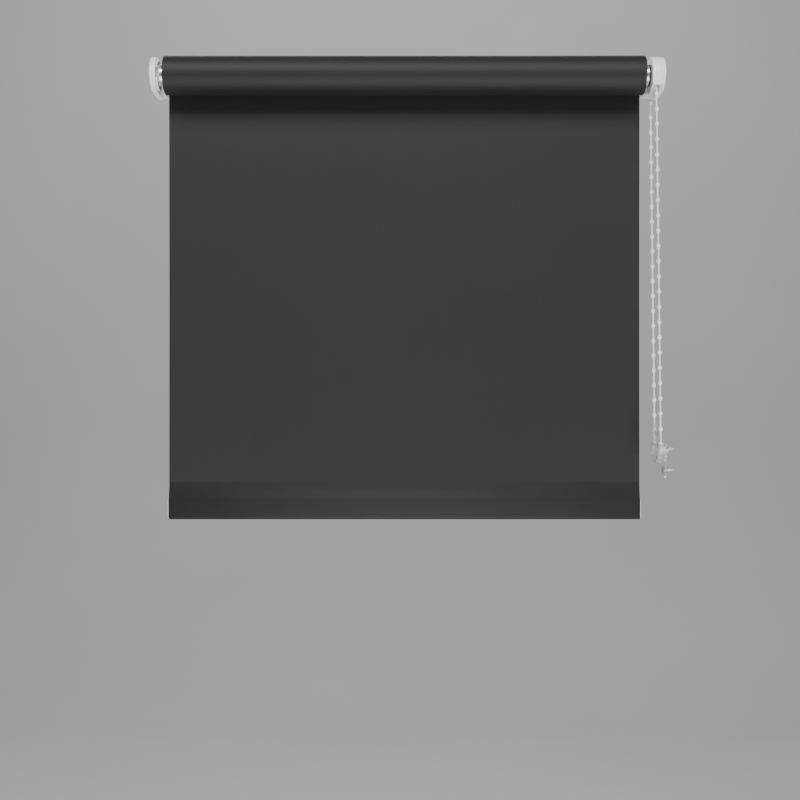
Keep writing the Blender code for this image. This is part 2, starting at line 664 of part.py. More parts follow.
def make_chain_wheel(stuff):
    """A wheel with a pocket for each bead and a slotted sleeve around the brake springs."""
    sleeve_start = WHEEL_START - SLEEVE_LENGTH
    hub_start = WHEEL_START - GUARD_WALL - 2 * CLEARANCE
    groove = WHEEL_GROOVE_WIDTH / 2
    profile = [
        (sleeve_start, SLEEVE_BORE),
        (sleeve_start, SLEEVE_RADIUS),
        (WHEEL_START, SLEEVE_RADIUS),
        (WHEEL_START, WHEEL_RADIUS),
        (WHEEL_X - groove, WHEEL_RADIUS),
        (WHEEL_X - groove, WHEEL_GROOVE_RADIUS),
        (WHEEL_X + groove, WHEEL_GROOVE_RADIUS),
        (WHEEL_X + groove, WHEEL_RADIUS),
        (WHEEL_END, WHEEL_RADIUS),
        (WHEEL_END, HUB_BORE),
        (hub_start, HUB_BORE),
        (hub_start, SLEEVE_BORE),
    ]
    wheel = turned("chain_wheel", [(x, circle(r)) for x, r in profile], stuff["white"])
    half = SLEEVE_SLOT_WIDTH / 2
    low = (sleeve_start - CLEARANCE, AXIS_Y - half, 0.0)
    high = (BARREL_END + CLEARANCE, AXIS_Y + half, WHEEL_RADIUS)
    slot = block("sleeve_slot", low, high, cutter=True)
    boolean(wheel, slot, "DIFFERENCE")

    first = math.pi - (CHAIN_PITCH - FIRST_BEAD_DROP % CHAIN_PITCH) / PITCH_RADIUS
    for i in range(WHEEL_POCKETS):
        y, z = about_x(AXIS, first - 2 * math.pi * i / WHEEL_POCKETS, PITCH_RADIUS)
        bm = bmesh.new()
        place = Matrix.Translation((WHEEL_X, y, z))
        bmesh.ops.create_uvsphere(bm, u_segments=12, v_segments=8, radius=POCKET_RADIUS, matrix=place)
        boolean(wheel, finish(f"wheel_pocket_{i}", bm, None, cutter=True), "DIFFERENCE")


# ---- Chain ----
def chain_point(s):
    """The chain's centre line at a distance s up the front strand from the roller's level.

    It runs up over the wheel, down the back strand, round the lower turn and up again.
    """
    s = s % CHAIN_LENGTH
    turn = math.pi * PITCH_RADIUS
    drift = TENSIONER_X - WHEEL_X
    if s < turn:
        y, z = about_x(AXIS, math.pi - s / PITCH_RADIUS, PITCH_RADIUS)
        return Vector((WHEEL_X, y, z))
    s -= turn
    if s < STRAND_LENGTH:
        share = s / STRAND_LENGTH
        return Vector((WHEEL_X + drift * share, AXIS_Y + PITCH_RADIUS, -STRAND_HEIGHT * share))
    s -= STRAND_LENGTH
    if s < turn:
        y, z = about_x((AXIS_Y, -STRAND_HEIGHT), -s / PITCH_RADIUS, PITCH_RADIUS)
        return Vector((TENSIONER_X, y, z))
    share = 1 - (s - turn) / STRAND_LENGTH
    return Vector((WHEEL_X + drift * share, AXIS_Y - PITCH_RADIUS, -STRAND_HEIGHT * share))


def make_chain(stuff):
    """The endless ball chain, as one closed tube that swells at each bead, and its connector."""
    swell = [
        (-BEAD_HALF_LENGTH, CHAIN_CORD_RADIUS),
        (-BEAD_HALF_FLAT, BEAD_RADIUS),
        (BEAD_HALF_FLAT, BEAD_RADIUS),
        (BEAD_HALF_LENGTH, CHAIN_CORD_RADIUS),
    ]
    sides = 6
    step = 1e-5
    rows = []
    for i in range(CHAIN_BEADS):
        for offset, radius in swell:
            s = -FIRST_BEAD_DROP + i * CHAIN_PITCH + offset
            middle = chain_point(s)
            ahead = (chain_point(s + step) - chain_point(s - step)).normalized()
            across = Vector((1, 0, 0))
            across = (across - ahead * across.dot(ahead)).normalized()
            out = ahead.cross(across)
            ring = [2 * math.pi * k / sides for k in range(sides)]
            rows.append([middle + (across * math.cos(a) + out * math.sin(a)) * radius for a in ring])
    finish("ball_chain", lofted(rows, closed=True), stuff["white"], smooth_angle=80)

    middle = chain_point(-FIRST_BEAD_DROP + CONNECTOR_BEAD * CHAIN_PITCH)
    half = CONNECTOR_LENGTH / 2
    bore = BEAD_RADIUS + CLEARANCE
    shape = [(-half, bore), (-half, CONNECTOR_RADIUS), (half, CONNECTOR_RADIUS), (half, bore)]
    ring = circle(1.0, 16, (0, 0))
    rows = [[middle + Vector((p[0] * r, p[1] * r, along)) for p in ring] for along, r in shape]
    finish("chain_connector", lofted(rows, closed=True), stuff["clear"])


# ---- Chain tensioner ----
def tab_outline(outside, rim, foot):
    """The tensioner's back plate: a bowl around the chain's turn with a narrower tab below it."""
    centre = (AXIS_Y, -STRAND_HEIGHT)
    half = TENSIONER_TAB_WIDTH / 2
    corner = TENSIONER_TAB_CORNER
    meet = math.degrees(math.acos(half / outside))
    left = arc(centre, outside, 180, 360 - meet - 2 * (90 - meet), 12)
    right = arc(centre, outside, 360 - meet, 360, 12)
    tab = arc((AXIS_Y - half + corner, foot + corner), corner, 180, 270, 5)
    tab += arc((AXIS_Y + half - corner, foot + corner), corner, 270, 360, 5)
    return [(AXIS_Y - outside, rim)] + left + tab + right + [(AXIS_Y + outside, rim)]


def make_tensioner(stuff):
    """The clear holder that keeps the chain's lower turn taut beside the reveal."""
    clear = stuff["clear"]
    room = BEAD_RADIUS + TENSIONER_CHANNEL_ROOM
    outer_wall = PITCH_RADIUS + room
    boss = PITCH_RADIUS - room
    outside = outer_wall + TENSIONER_WALL
    plate_face = REVEAL - TENSIONER_PLATE
    open_side = TENSIONER_X - room
    centre = (AXIS_Y, -STRAND_HEIGHT)
    rim = TENSIONER_TOP - STRAND_HEIGHT
    foot = -STRAND_HEIGHT - outside - TENSIONER_TAB_DROP
    past = 0.001

    bowl = arc(centre, outside, 180, 360, 24)
    bowl = [(AXIS_Y - outside, rim)] + bowl + [(AXIS_Y + outside, rim)]
    base = prism("tensioner_base", bowl, open_side, plate_face + TENSIONER_PLATE / 2, clear)
    channel = trough(outer_wall, boss, TENSIONER_TOP + past)
    boolean(
        base, prism("tensioner_channel", channel, open_side - past, plate_face, cutter=True), "DIFFERENCE"
    )
    plate = tab_outline(outside, rim, foot)
    boolean(base, prism("tensioner_plate", plate, plate_face, REVEAL, cutter=True), "UNION")

    upper = -STRAND_HEIGHT - TENSIONER_UPPER_SCREW
    lower = (foot - STRAND_HEIGHT - outside) / 2
    sunk = plate_face + SCREW_HEAD_DEPTH
    for label, z, mouth in (("upper", upper, open_side - past), ("lower", lower, plate_face - past)):
        hole = circle(SCREW_HOLE, SMALL_ROUND_STEPS, (AXIS_Y, z))
        wide = circle(SCREW_HEAD_RADIUS + CLEARANCE, SMALL_ROUND_STEPS, (AXIS_Y, z))
        sink = [(mouth, wide), (plate_face, wide), (sunk, hole), (REVEAL + past, hole)]
        cutter = turned(f"tensioner_hole_{label}", sink, None, closed=False, cutter=True)
        boolean(base, cutter, "DIFFERENCE")
        head = (plate_face, AXIS_Y, z)
        screw(f"tensioner_screw_{label}", head, (1, 0, 0), TENSIONER_SCREW_LENGTH, stuff["steel"])

    cover_in = open_side - CLEARANCE
    cover = prism("tensioner_cover", bowl, cover_in - TENSIONER_COVER, cover_in, clear)
    hub = circle(TENSIONER_WINDOW, SMALL_ROUND_STEPS, (AXIS_Y, upper))
    window = prism("tensioner_window", hub, cover_in - 2 * TENSIONER_COVER, cover_in + past, cutter=True)
    boolean(cover, window, "DIFFERENCE")


def main():
    for leftover in list(bpy.data.objects):
        bpy.data.objects.remove(leftover, do_unlink=True)
    stuff = make_materials()
    make_brackets(stuff)
    make_idle_end(stuff)
    make_roller(stuff)
    make_drop(stuff)
    make_clutch(stuff)
    make_chain(stuff)
    make_tensioner(stuff)


main()
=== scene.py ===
"""The looks of a chain-operated roller blind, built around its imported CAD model.

Frame: metres, +Z up, X along the roller, -Y towards the room, and the wall plane at Y = 0.
"""

import json
import math

import bmesh
import bpy
from mathutils import Matrix, Vector


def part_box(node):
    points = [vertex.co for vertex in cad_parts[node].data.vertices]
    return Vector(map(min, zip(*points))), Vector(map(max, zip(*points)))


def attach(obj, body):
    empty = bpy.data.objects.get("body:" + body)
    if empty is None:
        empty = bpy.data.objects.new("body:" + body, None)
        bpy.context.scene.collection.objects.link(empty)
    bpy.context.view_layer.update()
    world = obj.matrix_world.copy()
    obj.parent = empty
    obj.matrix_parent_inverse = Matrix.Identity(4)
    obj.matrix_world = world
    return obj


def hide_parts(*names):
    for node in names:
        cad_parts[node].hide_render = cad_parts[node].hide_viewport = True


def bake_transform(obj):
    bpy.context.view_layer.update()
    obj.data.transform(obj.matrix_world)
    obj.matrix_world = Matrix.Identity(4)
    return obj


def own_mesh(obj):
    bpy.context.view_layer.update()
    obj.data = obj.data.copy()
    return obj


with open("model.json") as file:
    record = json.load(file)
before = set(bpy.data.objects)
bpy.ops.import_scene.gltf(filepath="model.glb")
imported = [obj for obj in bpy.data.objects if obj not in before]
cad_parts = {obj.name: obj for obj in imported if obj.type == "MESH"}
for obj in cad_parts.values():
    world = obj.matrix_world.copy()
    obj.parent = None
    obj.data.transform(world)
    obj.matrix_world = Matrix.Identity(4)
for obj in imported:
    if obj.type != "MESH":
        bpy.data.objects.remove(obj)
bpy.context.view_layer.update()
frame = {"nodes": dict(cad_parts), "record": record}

# ---- Places read from the frame ----
JOINTS = {joint["name"]: joint for joint in frame["record"]["behaviour"]["joints"]}
AXIS = tuple(JOINTS["roller_spin"]["pos_m"][1:])
AXIS_Y = AXIS[0]

TUBE_LOW, TUBE_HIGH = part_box("roller_tube")
_, ROLL_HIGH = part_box("fabric_roll")
DROP_LOW, DROP_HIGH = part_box("fabric_drop")
HEM_LOW, HEM_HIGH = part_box("hem_pocket")
GUARD_LOW, GUARD_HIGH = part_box("chain_guard")
_, WHEEL_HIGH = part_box("chain_wheel")
TENSION_LOW, TENSION_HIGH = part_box("tensioner_base")
LEFT_LOW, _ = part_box("left_bracket_base")
_, RIGHT_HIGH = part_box("right_bracket_base")

TUBE_RADIUS = -TUBE_LOW.z
ROLL_RADIUS = ROLL_HIGH.z
BRACKET_RADIUS = AXIS_Y - LEFT_LOW.y
WHEEL_RADIUS = WHEEL_HIGH.z
GUARD_LIP_RADIUS = GUARD_HIGH.z
FABRIC_LEFT = DROP_LOW.x
FABRIC_RIGHT = DROP_HIGH.x
FABRIC_WIDTH = FABRIC_RIGHT - FABRIC_LEFT
FABRIC_THICKNESS = DROP_HIGH.y - DROP_LOW.y
HEM_Y = (HEM_LOW.y + HEM_HIGH.y) / 2

# ---- Sizes shared with the CAD model (metres) ----
CLEARANCE = 0.0003
TUBE_WALL = 0.0008
KEYWAY_WIDTH = 0.004
KEYWAY_DEPTH = 0.0013
LEFT_CHEEK = 0.0028
RIGHT_CHEEK = 0.0024
FOOT_THICKNESS = 0.0025
FOOT_WIDTH = 0.022
FOOT_HEIGHT = 0.032
BOSS_RADIUS = 0.0065
BOSS_HEIGHT = 0.0016
RING_RADIUS = 0.0143
RING_WALL = 0.001
RING_MOUTH = 0.0098
PIN_HOLE = 0.0033
PIN_SPRING_RADIUS = 0.0046
PIN_SPRING_TURNS = 7
SCREW_SPACING = 0.018
SCREW_RADIUS = 0.0019
SCREW_HEAD_RADIUS = 0.0036
SCREW_HEAD_DEPTH = 0.0017
SCREW_LENGTH = 0.019
TENSIONER_SCREW_LENGTH = 0.012
GUARD_WALL = 0.0009
GUARD_LIP = 0.0004
GUARD_SKIRT = 0.0135
SLEEVE_RADIUS = 0.0069
SLEEVE_LENGTH = 0.0265
SLEEVE_BORE = 0.006
SLEEVE_SLOT = 0.0056
HUB_BORE = 0.0048
WHEEL_WIDTH = 0.005
CORE_TONGUE = 0.0068
CHAIN_PITCH = 0.01475
CHAIN_BEADS = 55
WHEEL_POCKETS = 6
FIRST_BEAD_DROP = 0.0215
BEAD_RADIUS = 0.00215
CORD_RADIUS = 0.00085
CONNECTOR_BEAD = 28
TENSIONER_PLATE = 0.002
TENSIONER_TOP = 0.0014
TENSIONER_WALL = 0.0012
TENSIONER_ROOM = 0.00035
TENSIONER_TAB_WIDTH = 0.016
TENSIONER_TAB_CORNER = 0.003
TENSIONER_WINDOW = 0.0052
TENSIONER_INSET = 0.0068

PITCH_RADIUS = CHAIN_PITCH * WHEEL_POCKETS / (2 * math.pi)
WHEEL_START = WHEEL_HIGH.x - WHEEL_WIDTH
WHEEL_X = WHEEL_HIGH.x - WHEEL_WIDTH / 2
TENSIONER_X = TENSION_HIGH.x - TENSIONER_INSET
CHAIN_LENGTH = CHAIN_PITCH * CHAIN_BEADS
STRAND_LENGTH = CHAIN_LENGTH / 2 - math.pi * PITCH_RADIUS
STRAND_HEIGHT = math.sqrt(STRAND_LENGTH**2 - (TENSIONER_X - WHEEL_X) ** 2)


# ---- Materials ----
class Recipe:
    """A procedural material, built up node by node around one Principled shader."""

    def __init__(self, name, **constants):
        self.material = bpy.data.materials.new(name)
        self.material.use_nodes = True
        self.tree = self.material.node_tree
        self.shader = self.tree.nodes["Principled BSDF"]
        for socket, value in constants.items():
            self.shader.inputs[socket.replace("_", " ")].default_value = value

    def node(self, kind, inputs=None, **settings):
        made = self.tree.nodes.new(f"ShaderNode{kind}")
        for key, value in settings.items():
            setattr(made, key, value)
        for socket, value in (inputs or {}).items():
            if isinstance(value, bpy.types.NodeSocket):
                self.tree.links.new(value, made.inputs[socket])
            else:
                made.inputs[socket].default_value = value
        return made

    def place(self, scale=(1, 1, 1)):
        """Object coordinates in metres, stretched by a scale."""
        where = self.node("TexCoord").outputs["Object"]
        return self.node("Mapping", {"Vector": where, "Scale": scale}).outputs["Vector"]

    def cloth_place(self, scale=(1, 1, 1)):
        """Places on the flat cloth, in metres, as its mesh carries them."""
        where = self.node("Attribute", attribute_name="cloth").outputs["Vector"]
        return self.node("Mapping", {"Vector": where, "Scale": scale}).outputs["Vector"]

    def noise(self, where, scale, detail=3.0, roughness=0.55):
        inputs = {"Vector": where, "Scale": scale, "Detail": detail, "Roughness": roughness}
        return self.node("TexNoise", inputs).outputs["Fac"]

    def ramp(self, value, low, high, start=0.0, end=1.0):
        """Map a value from one range to another, clamped."""
        inputs = {"Value": value, "From Min": start, "From Max": end, "To Min": low, "To Max": high}
        return self.node("MapRange", inputs).outputs["Result"]

    def spread(self, noise, low=0.0, high=1.0):
        """Map the middle of a noise to a whole range, clamped."""
        return self.ramp(noise, low, high, 0.3, 0.7)

    def maths(self, operation, first, second):
        return self.node("Math", {0: first, 1: second}, operation=operation).outputs["Value"]

    def blend(self, share, first, second):
        """A colour between two, by a share."""
        made = self.node("Mix", data_type="RGBA")
        self.tree.links.new(share, made.inputs["Factor"])
        for index, colour in ((6, first), (7, second)):
            if isinstance(colour, bpy.types.NodeSocket):
                self.tree.links.new(colour, made.inputs[index])
            else:
                made.inputs[index].default_value = (*colour, 1.0)
        return made.outputs[2]

    def bump(self, height, depth, strength=1.0, below=None):
        inputs = {"Height": height, "Distance": depth, "Strength": strength}
        if below:
            inputs["Normal"] = below
        return self.node("Bump", inputs).outputs["Normal"]

    def use(self, **sockets):
        for socket, value in sockets.items():
            self.tree.links.new(value, self.shader.inputs[socket.replace("_", " ")])
        return self.material


YARN_PITCH = 0.00042


def fabric_material():
    """Charcoal blackout cloth: a fine plain weave under a matte coating, with faint uneven yarns."""
    recipe = Recipe(
        "blackout_fabric_cloth", Sheen_Weight=0.01, Sheen_Roughness=0.45, Specular_IOR_Level=0.29
    )
    dark, light = (0.0128, 0.0134, 0.0133), (0.0146, 0.0152, 0.0151)
    pale_yarn, gap = (0.0185, 0.0192, 0.0191), (0.0102, 0.0106, 0.0105)
    turns = 2 * math.pi / YARN_PITCH
    where = recipe.node("SeparateXYZ", {"Vector": recipe.cloth_place()})
    warp = recipe.maths("SINE", recipe.maths("MULTIPLY", where.outputs["X"], turns), 0.0)
    weft = recipe.maths("SINE", recipe.maths("MULTIPLY", where.outputs["Y"], turns), 0.0)
    over = recipe.maths("MULTIPLY", warp, weft)
    weave = recipe.ramp(over, 0.0, 1.0, start=-1.0)
    warp_slubs = recipe.noise(recipe.cloth_place((900, 14, 1)), 1.0, 2.0)
    weft_slubs = recipe.noise(recipe.cloth_place((14, 900, 1)), 1.0, 2.0)
    slubs = recipe.maths("ADD", warp_slubs, weft_slubs)
    clouds = recipe.noise(recipe.cloth_place(), 7.0, 4.0)
    even = recipe.blend(recipe.spread(clouds), dark, light)
    yarn = recipe.blend(recipe.ramp(slubs, 0.0, 0.5, 0.7, 1.3), even, pale_yarn)
    colour = recipe.blend(recipe.ramp(weave, 0.0, 0.22), yarn, gap)
    rough = recipe.ramp(clouds, 0.45, 0.53)
    slub_relief = recipe.bump(slubs, 0.00003, 0.5)
    relief = recipe.bump(weave, 0.00005, 0.6, slub_relief)
    return recipe.use(Base_Color=colour, Roughness=rough, Normal=relief)


def plastic_material(name, light, dark, rough, grain=2600.0, depth=0.00001, **constants):
    """Moulded plastic: faint tone clouds, a fine mould texture and slightly uneven gloss."""
    recipe = Recipe(name, **constants)
    where = recipe.place()
    clouds = recipe.noise(where, 60.0, 3.0)
    fine = recipe.noise(where, grain, 4.0)
    flow = recipe.noise(recipe.place((30, 30, 120)), 4.0, 2.0)
    colour = recipe.blend(recipe.spread(clouds), light, dark)
    gloss = recipe.spread(flow, rough * 0.85, rough * 1.2)
    return recipe.use(Base_Color=colour, Roughness=gloss, Normal=recipe.bump(fine, depth, 0.6))


def clear_material():
    """Clear polished plastic with faint flow marks from moulding."""
    recipe = Recipe(
        "clear_plastic_polished", Transmission_Weight=0.92, IOR=1.49, Specular_IOR_Level=0.5
    )
    flow = recipe.noise(recipe.place((60, 60, 220)), 3.0, 2.0)
    fine = recipe.noise(recipe.place(), 1400.0, 2.0)
    colour = recipe.blend(recipe.spread(flow), (0.97, 0.98, 0.985), (0.93, 0.95, 0.96))
    return recipe.use(
        Base_Color=colour,
        Roughness=recipe.spread(flow, 0.03, 0.12),
        Normal=recipe.bump(fine, 0.000006, 0.5),
    )


def aluminium_material():
    """Extruded tube: fine drawing lines along it and a soft polish."""
    recipe = Recipe("aluminium_extruded", Metallic=1.0)
    lines = recipe.noise(recipe.place((6, 1500, 1500)), 1.0, 4.0, 0.7)
    clouds = recipe.noise(recipe.place(), 90.0, 3.0)
    colour = recipe.blend(recipe.spread(clouds), (0.80, 0.81, 0.82), (0.70, 0.71, 0.73))
    rough = recipe.spread(lines, 0.17, 0.34)
    return recipe.use(Base_Color=colour, Roughness=rough, Normal=recipe.bump(lines, 0.000008, 0.5))


def steel_material():
    """Zinc plating: cool grey with slight yellow and blue clouds and a fine crystal texture."""
    recipe = Recipe("plated_steel_zinc", Metallic=1.0)
    where = recipe.place()
    clouds = recipe.noise(where, 380.0, 3.0)
    crystals = recipe.noise(where, 5200.0, 3.0)
    colour = recipe.blend(recipe.ramp(clouds, 0.0, 1.0, 0.35, 0.65), (0.66, 0.68, 0.72), (0.74, 0.71, 0.64))
    rough = recipe.spread(crystals, 0.22, 0.36)
    return recipe.use(Base_Color=colour, Roughness=rough, Normal=recipe.bump(crystals, 0.000006, 0.6))


def cord_material():
    """White polyester yarn: thin fibres that wind round the chain's cord."""
    recipe = Recipe("polyester_cord", Sheen_Weight=0.2, Sheen_Roughness=0.4)
    fibres = recipe.noise(recipe.cloth_place((1, 420, 1)), 9.0, 3.0, 0.7)
    colour = recipe.blend(recipe.spread(fibres), (0.70, 0.70, 0.70), (0.84, 0.84, 0.84))
    rough = recipe.ramp(fibres, 0.55, 0.75)
    return recipe.use(Base_Color=colour, Roughness=rough, Normal=recipe.bump(fibres, 0.00004, 0.7))


COARSE_GRAIN = 3200.0
COARSE_DEPTH = 0.00002

FABRIC = fabric_material()
WHITE = plastic_material(
    "white_plastic_satin", (0.94, 0.94, 0.94), (0.91, 0.91, 0.915), 0.30, Subsurface_Weight=0.04,
    Subsurface_Scale=0.001,
)
GREY = plastic_material(
    "grey_plastic_matte", (0.54, 0.54, 0.55), (0.48, 0.48, 0.495), 0.42, COARSE_GRAIN, COARSE_DEPTH
)
DARK = plastic_material(
    "dark_plastic_matte", (0.045, 0.045, 0.05), (0.03, 0.03, 0.034), 0.45, COARSE_GRAIN, COARSE_DEPTH
)
CLEAR = clear_material()
ALUMINIUM = aluminium_material()
STEEL = steel_material()
CORD = cord_material()
STUFFS = {
    "blackout_fabric": FABRIC,
    "white_plastic": WHITE,
    "grey_plastic": GREY,
    "dark_plastic": DARK,
    "clear_plastic": CLEAR,
    "aluminium": ALUMINIUM,
    "plated_steel": STEEL,
}


# ---- Building blocks ----
def polar(centre, angle, radius):
    """The (Y, Z) point at an angle from +Y, turning towards +Z."""
    return (centre[0] + radius * math.cos(angle), centre[1] + radius * math.sin(angle))


def arc(centre, radius, start, end, steps):
    """Points on an arc, in degrees, with both ends."""
    turn = math.radians(end - start) / steps
    return [polar(centre, math.radians(start) + i * turn, radius) for i in range(steps + 1)]


def turns_of(sides):
    """Evenly spaced angles round a circle."""
    return [2 * math.pi * k / sides for k in range(sides)]


def circle(radius, steps=96, centre=AXIS):
    return [polar(centre, angle, radius) for angle in turns_of(steps)]


def to_piece(name, bm, stuff, sharp=None):
    """A smooth-shaded object from a bmesh, with edges over the sharp angle kept crisp."""
    bmesh.ops.recalc_face_normals(bm, faces=bm.faces)
    mesh = bpy.data.meshes.new(name)
    bm.to_mesh(mesh)
    bm.free()
    mesh.materials.append(stuff)
    mesh.shade_smooth()
    if sharp:
        mesh.set_sharp_from_angle(angle=math.radians(sharp))
    piece = bpy.data.objects.new(name, mesh)
    bpy.context.scene.collection.objects.link(piece)
    return piece


def skin(rows, closed=False):
    """Faces between outlines with equal numbers of points, joined end to end or capped."""
    bm = bmesh.new()
    rings = [[bm.verts.new(point) for point in row] for row in rows]
    pairs = list(zip(rings, rings[1:]))
    if closed:
        pairs.append((rings[-1], rings[0]))
    else:
        bm.faces.new(rings[0])
        bm.faces.new(rings[-1])
    for a, b in pairs:
        for i in range(len(a)):
            j = (i + 1) % len(a)
            bm.faces.new((a[i], a[j], b[j], b[i]))
    return bm


def stations(name, rows, stuff, closed=False, sharp=None):
    """A solid through (x, outline) stations along X."""
    return to_piece(name, skin([[(x, *p) for p in outline] for x, outline in rows], closed), stuff, sharp)


def prism(name, outline, start, end, stuff=WHITE):
    return stations(name, [(start, outline), (end, outline)], stuff)


def block(low, high):
    """A box, only ever used to carve other pieces or to join them."""
    outline = [(low[1], low[2]), (high[1], low[2]), (high[1], high[2]), (low[1], high[2])]
    return prism("block", outline, low[0], high[0])


def carve(piece, tool, operation="DIFFERENCE"):
    """Cut a tool out of a piece, or join it on, and remove the tool."""
    step = piece.modifiers.new(operation.lower(), "BOOLEAN")
    step.operation = operation
    step.solver = "EXACT"
    step.object = tool
    evaluated = piece.evaluated_get(bpy.context.evaluated_depsgraph_get())
    mesh = bpy.data.meshes.new_from_object(evaluated)
    piece.modifiers.clear()
    piece.data = mesh
    bpy.data.objects.remove(tool, do_unlink=True)


JOIN_DISTANCE = 0.00002
SLIVER = 0.00001
FLAT_ANGLE = math.radians(0.5)


def clean(piece):
    """Join the points and faces that booleans leave almost on top of each other."""
    bm = bmesh.new()
    bm.from_mesh(piece.data)
    bmesh.ops.remove_doubles(bm, verts=bm.verts, dist=JOIN_DISTANCE)
    bmesh.ops.dissolve_degenerate(bm, edges=bm.edges, dist=SLIVER)
    bmesh.ops.dissolve_limit(bm, angle_limit=FLAT_ANGLE, verts=bm.verts, edges=bm.edges)
    bm.to_mesh(piece.data)
    bm.free()


MOULDED_EDGE = 0.0003
THIN_EDGE = 0.0002
CLEAR_EDGE = 0.00025


def soften(piece, width, segments=3, angle=32.0):
    """Clean a moulded piece and round its edges."""
    clean(piece)
    bevel = piece.modifiers.new("rounded edges", "BEVEL")
    bevel.width = width
    bevel.segments = segments
    bevel.limit_method = "ANGLE"
    bevel.angle_limit = math.radians(angle)
    bevel.harden_normals = True
    weld = piece.modifiers.new("joined slivers", "WELD")
    weld.merge_threshold = SLIVER


def stand_in(piece, body, slot, *nodes):
    """The piece rides on a body and stands for CAD nodes, which it hides; the slot argument is not used."""
    if body:
        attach(piece, body)
    if nodes:
        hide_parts(*nodes)
    return piece


def carry_over(node):
    """Keep a CAD node's shape and give it its finish."""
    slots = {part["node"]: part["material_slot"] for part in frame["record"]["subparts"]}
    for holder in frame["nodes"][node].material_slots:
        holder.material = STUFFS[slots[node]]


# ---- Camera, light and stage ----
OBJECT_MIDDLE = Vector(((FABRIC_LEFT + FABRIC_RIGHT) / 2, AXIS_Y, (HEM_LOW.z + ROLL_HIGH.z) / 2))
BACKDROP_MIDDLE = Vector((0.23, 4.5, -0.2))
CAMERA_PLACE = (0.2288, -1.1967, -0.3423)
SENSOR_WIDTH = 36.0
LENS = 53.82
LENS_SHIFT = 0.03125


def add_camera():
    """A level camera in front of the blind, about four fifths of the way down it."""
    lens = bpy.data.cameras.new("camera")
    lens.sensor_width = SENSOR_WIDTH
    lens.lens = LENS
    lens.shift_y = LENS_SHIFT
    camera = bpy.data.objects.new("camera", lens)
    camera.location = CAMERA_PLACE
    camera.rotation_euler = (math.radians(90), 0, 0)
    bpy.context.scene.collection.objects.link(camera)
    bpy.context.scene.camera = camera


def add_light(name, azimuth, elevation, distance, size, power, target=OBJECT_MIDDLE):
    """A soft rectangular light aimed at a target; azimuth 0 is in front, elevation is above level."""
    light = bpy.data.lights.new(name, "AREA")
    light.shape = "RECTANGLE"
    light.size, light.size_y = size
    light.energy = power
    a, e = math.radians(azimuth), math.radians(elevation)
    away = Vector((math.sin(a) * math.cos(e), -math.cos(a) * math.cos(e), math.sin(e)))
    lamp = bpy.data.objects.new(name, light)
    lamp.location = target + away * distance
    lamp.rotation_euler = (-away).to_track_quat("-Z", "Y").to_euler()
    bpy.context.scene.collection.objects.link(lamp)


def add_stage():
    """A pale floor that curves up into a far backdrop."""
    recipe = Recipe("studio_paper", Specular_IOR_Level=0.1)
    clouds = recipe.noise(recipe.place(), 1.2, 3.0)
    colour = recipe.blend(recipe.spread(clouds), (0.60, 0.60, 0.61), (0.63, 0.63, 0.64))
    recipe.shader.inputs["Roughness"].default_value = 0.9
    paper = recipe.use(Base_Color=colour)
    floor_z, front, reach, bend, top, half = -1.5, -7.0, 4.5, 1.2, 5.5, 7.0
    path = [(front, floor_z)]
    path += arc((reach - bend, floor_z + bend), bend, 270, 360, 16)
    path += [(reach, top)]
    bm = bmesh.new()
    rows = [[bm.verts.new((x, *p)) for p in path] for x in (-half, half)]
    for i in range(len(path) - 1):
        bm.faces.new((rows[0][i], rows[1][i], rows[1][i + 1], rows[0][i + 1]))
    to_piece("studio_sweep", bm, paper)


def add_world():
    world = bpy.data.worlds.new("soft_room")
    world.use_nodes = True
    background = world.node_tree.nodes["Background"]
    background.inputs["Color"].default_value = (0.90, 0.92, 0.95, 1)
    background.inputs["Strength"].default_value = 0.28
    bpy.context.scene.world = world


add_camera()
add_world()
add_stage()
add_light("key", -6, 42, 2.2, (2.4, 0.9), 55)
add_light("low_fill", 10, -34, 1.6, (2.2, 0.7), 12)
add_light("sill_bounce", 0, -50, 1.2, (2.2, 0.7), 12)
add_light("side_fill", 75, 25, 2.4, (1.2, 1.8), 10)
add_light("back_fill", 190, 35, 3.0, (2.2, 1.6), 26)
add_light("backdrop_wash", 0, 50, 3.4, (4.0, 1.5), 40, BACKDROP_MIDDLE)


# ---- Chain ----
def chain_point(s):
    """The chain's centre line at a distance s past the wheel's front.

    It runs over the wheel, down the back, round the tensioner and up the front.
    """
    s = s % CHAIN_LENGTH
    turn = math.pi * PITCH_RADIUS
    drift = TENSIONER_X - WHEEL_X
    if s < turn:
        return Vector((WHEEL_X, *polar(AXIS, math.pi - s / PITCH_RADIUS, PITCH_RADIUS)))
    s -= turn
    if s < STRAND_LENGTH:
        share = s / STRAND_LENGTH
        return Vector((WHEEL_X + drift * share, AXIS_Y + PITCH_RADIUS, -STRAND_HEIGHT * share))
    s -= STRAND_LENGTH
    if s < turn:
        return Vector((TENSIONER_X, *polar((AXIS_Y, -STRAND_HEIGHT), -s / PITCH_RADIUS, PITCH_RADIUS)))
    share = 1 - (s - turn) / STRAND_LENGTH
    return Vector((WHEEL_X + drift * share, AXIS_Y - PITCH_RADIUS, -STRAND_HEIGHT * share))


def chain_frame(s):
    """The centre line's point, direction, and two directions across it."""
    step = 0.0004
    ahead = (chain_point(s + step) - chain_point(s - step)).normalized()
    across = Vector((1, 0, 0))
    across = (across - ahead * across.dot(ahead)).normalized()
    return chain_point(s), ahead, across, ahead.cross(across)


def spoke(across, out, angle, radius):
    """A vector from the centre line to a ring round it."""
    return (across * math.cos(angle) + out * math.sin(angle)) * radius


def tag_cloth(piece, places):
    """Store each vertex's place on the flat material for the weave and the fibres."""
    attribute = piece.data.attributes.new("cloth", "FLOAT_VECTOR", "POINT")
    attribute.data.foreach_set("vector", [value for place in places for value in place])


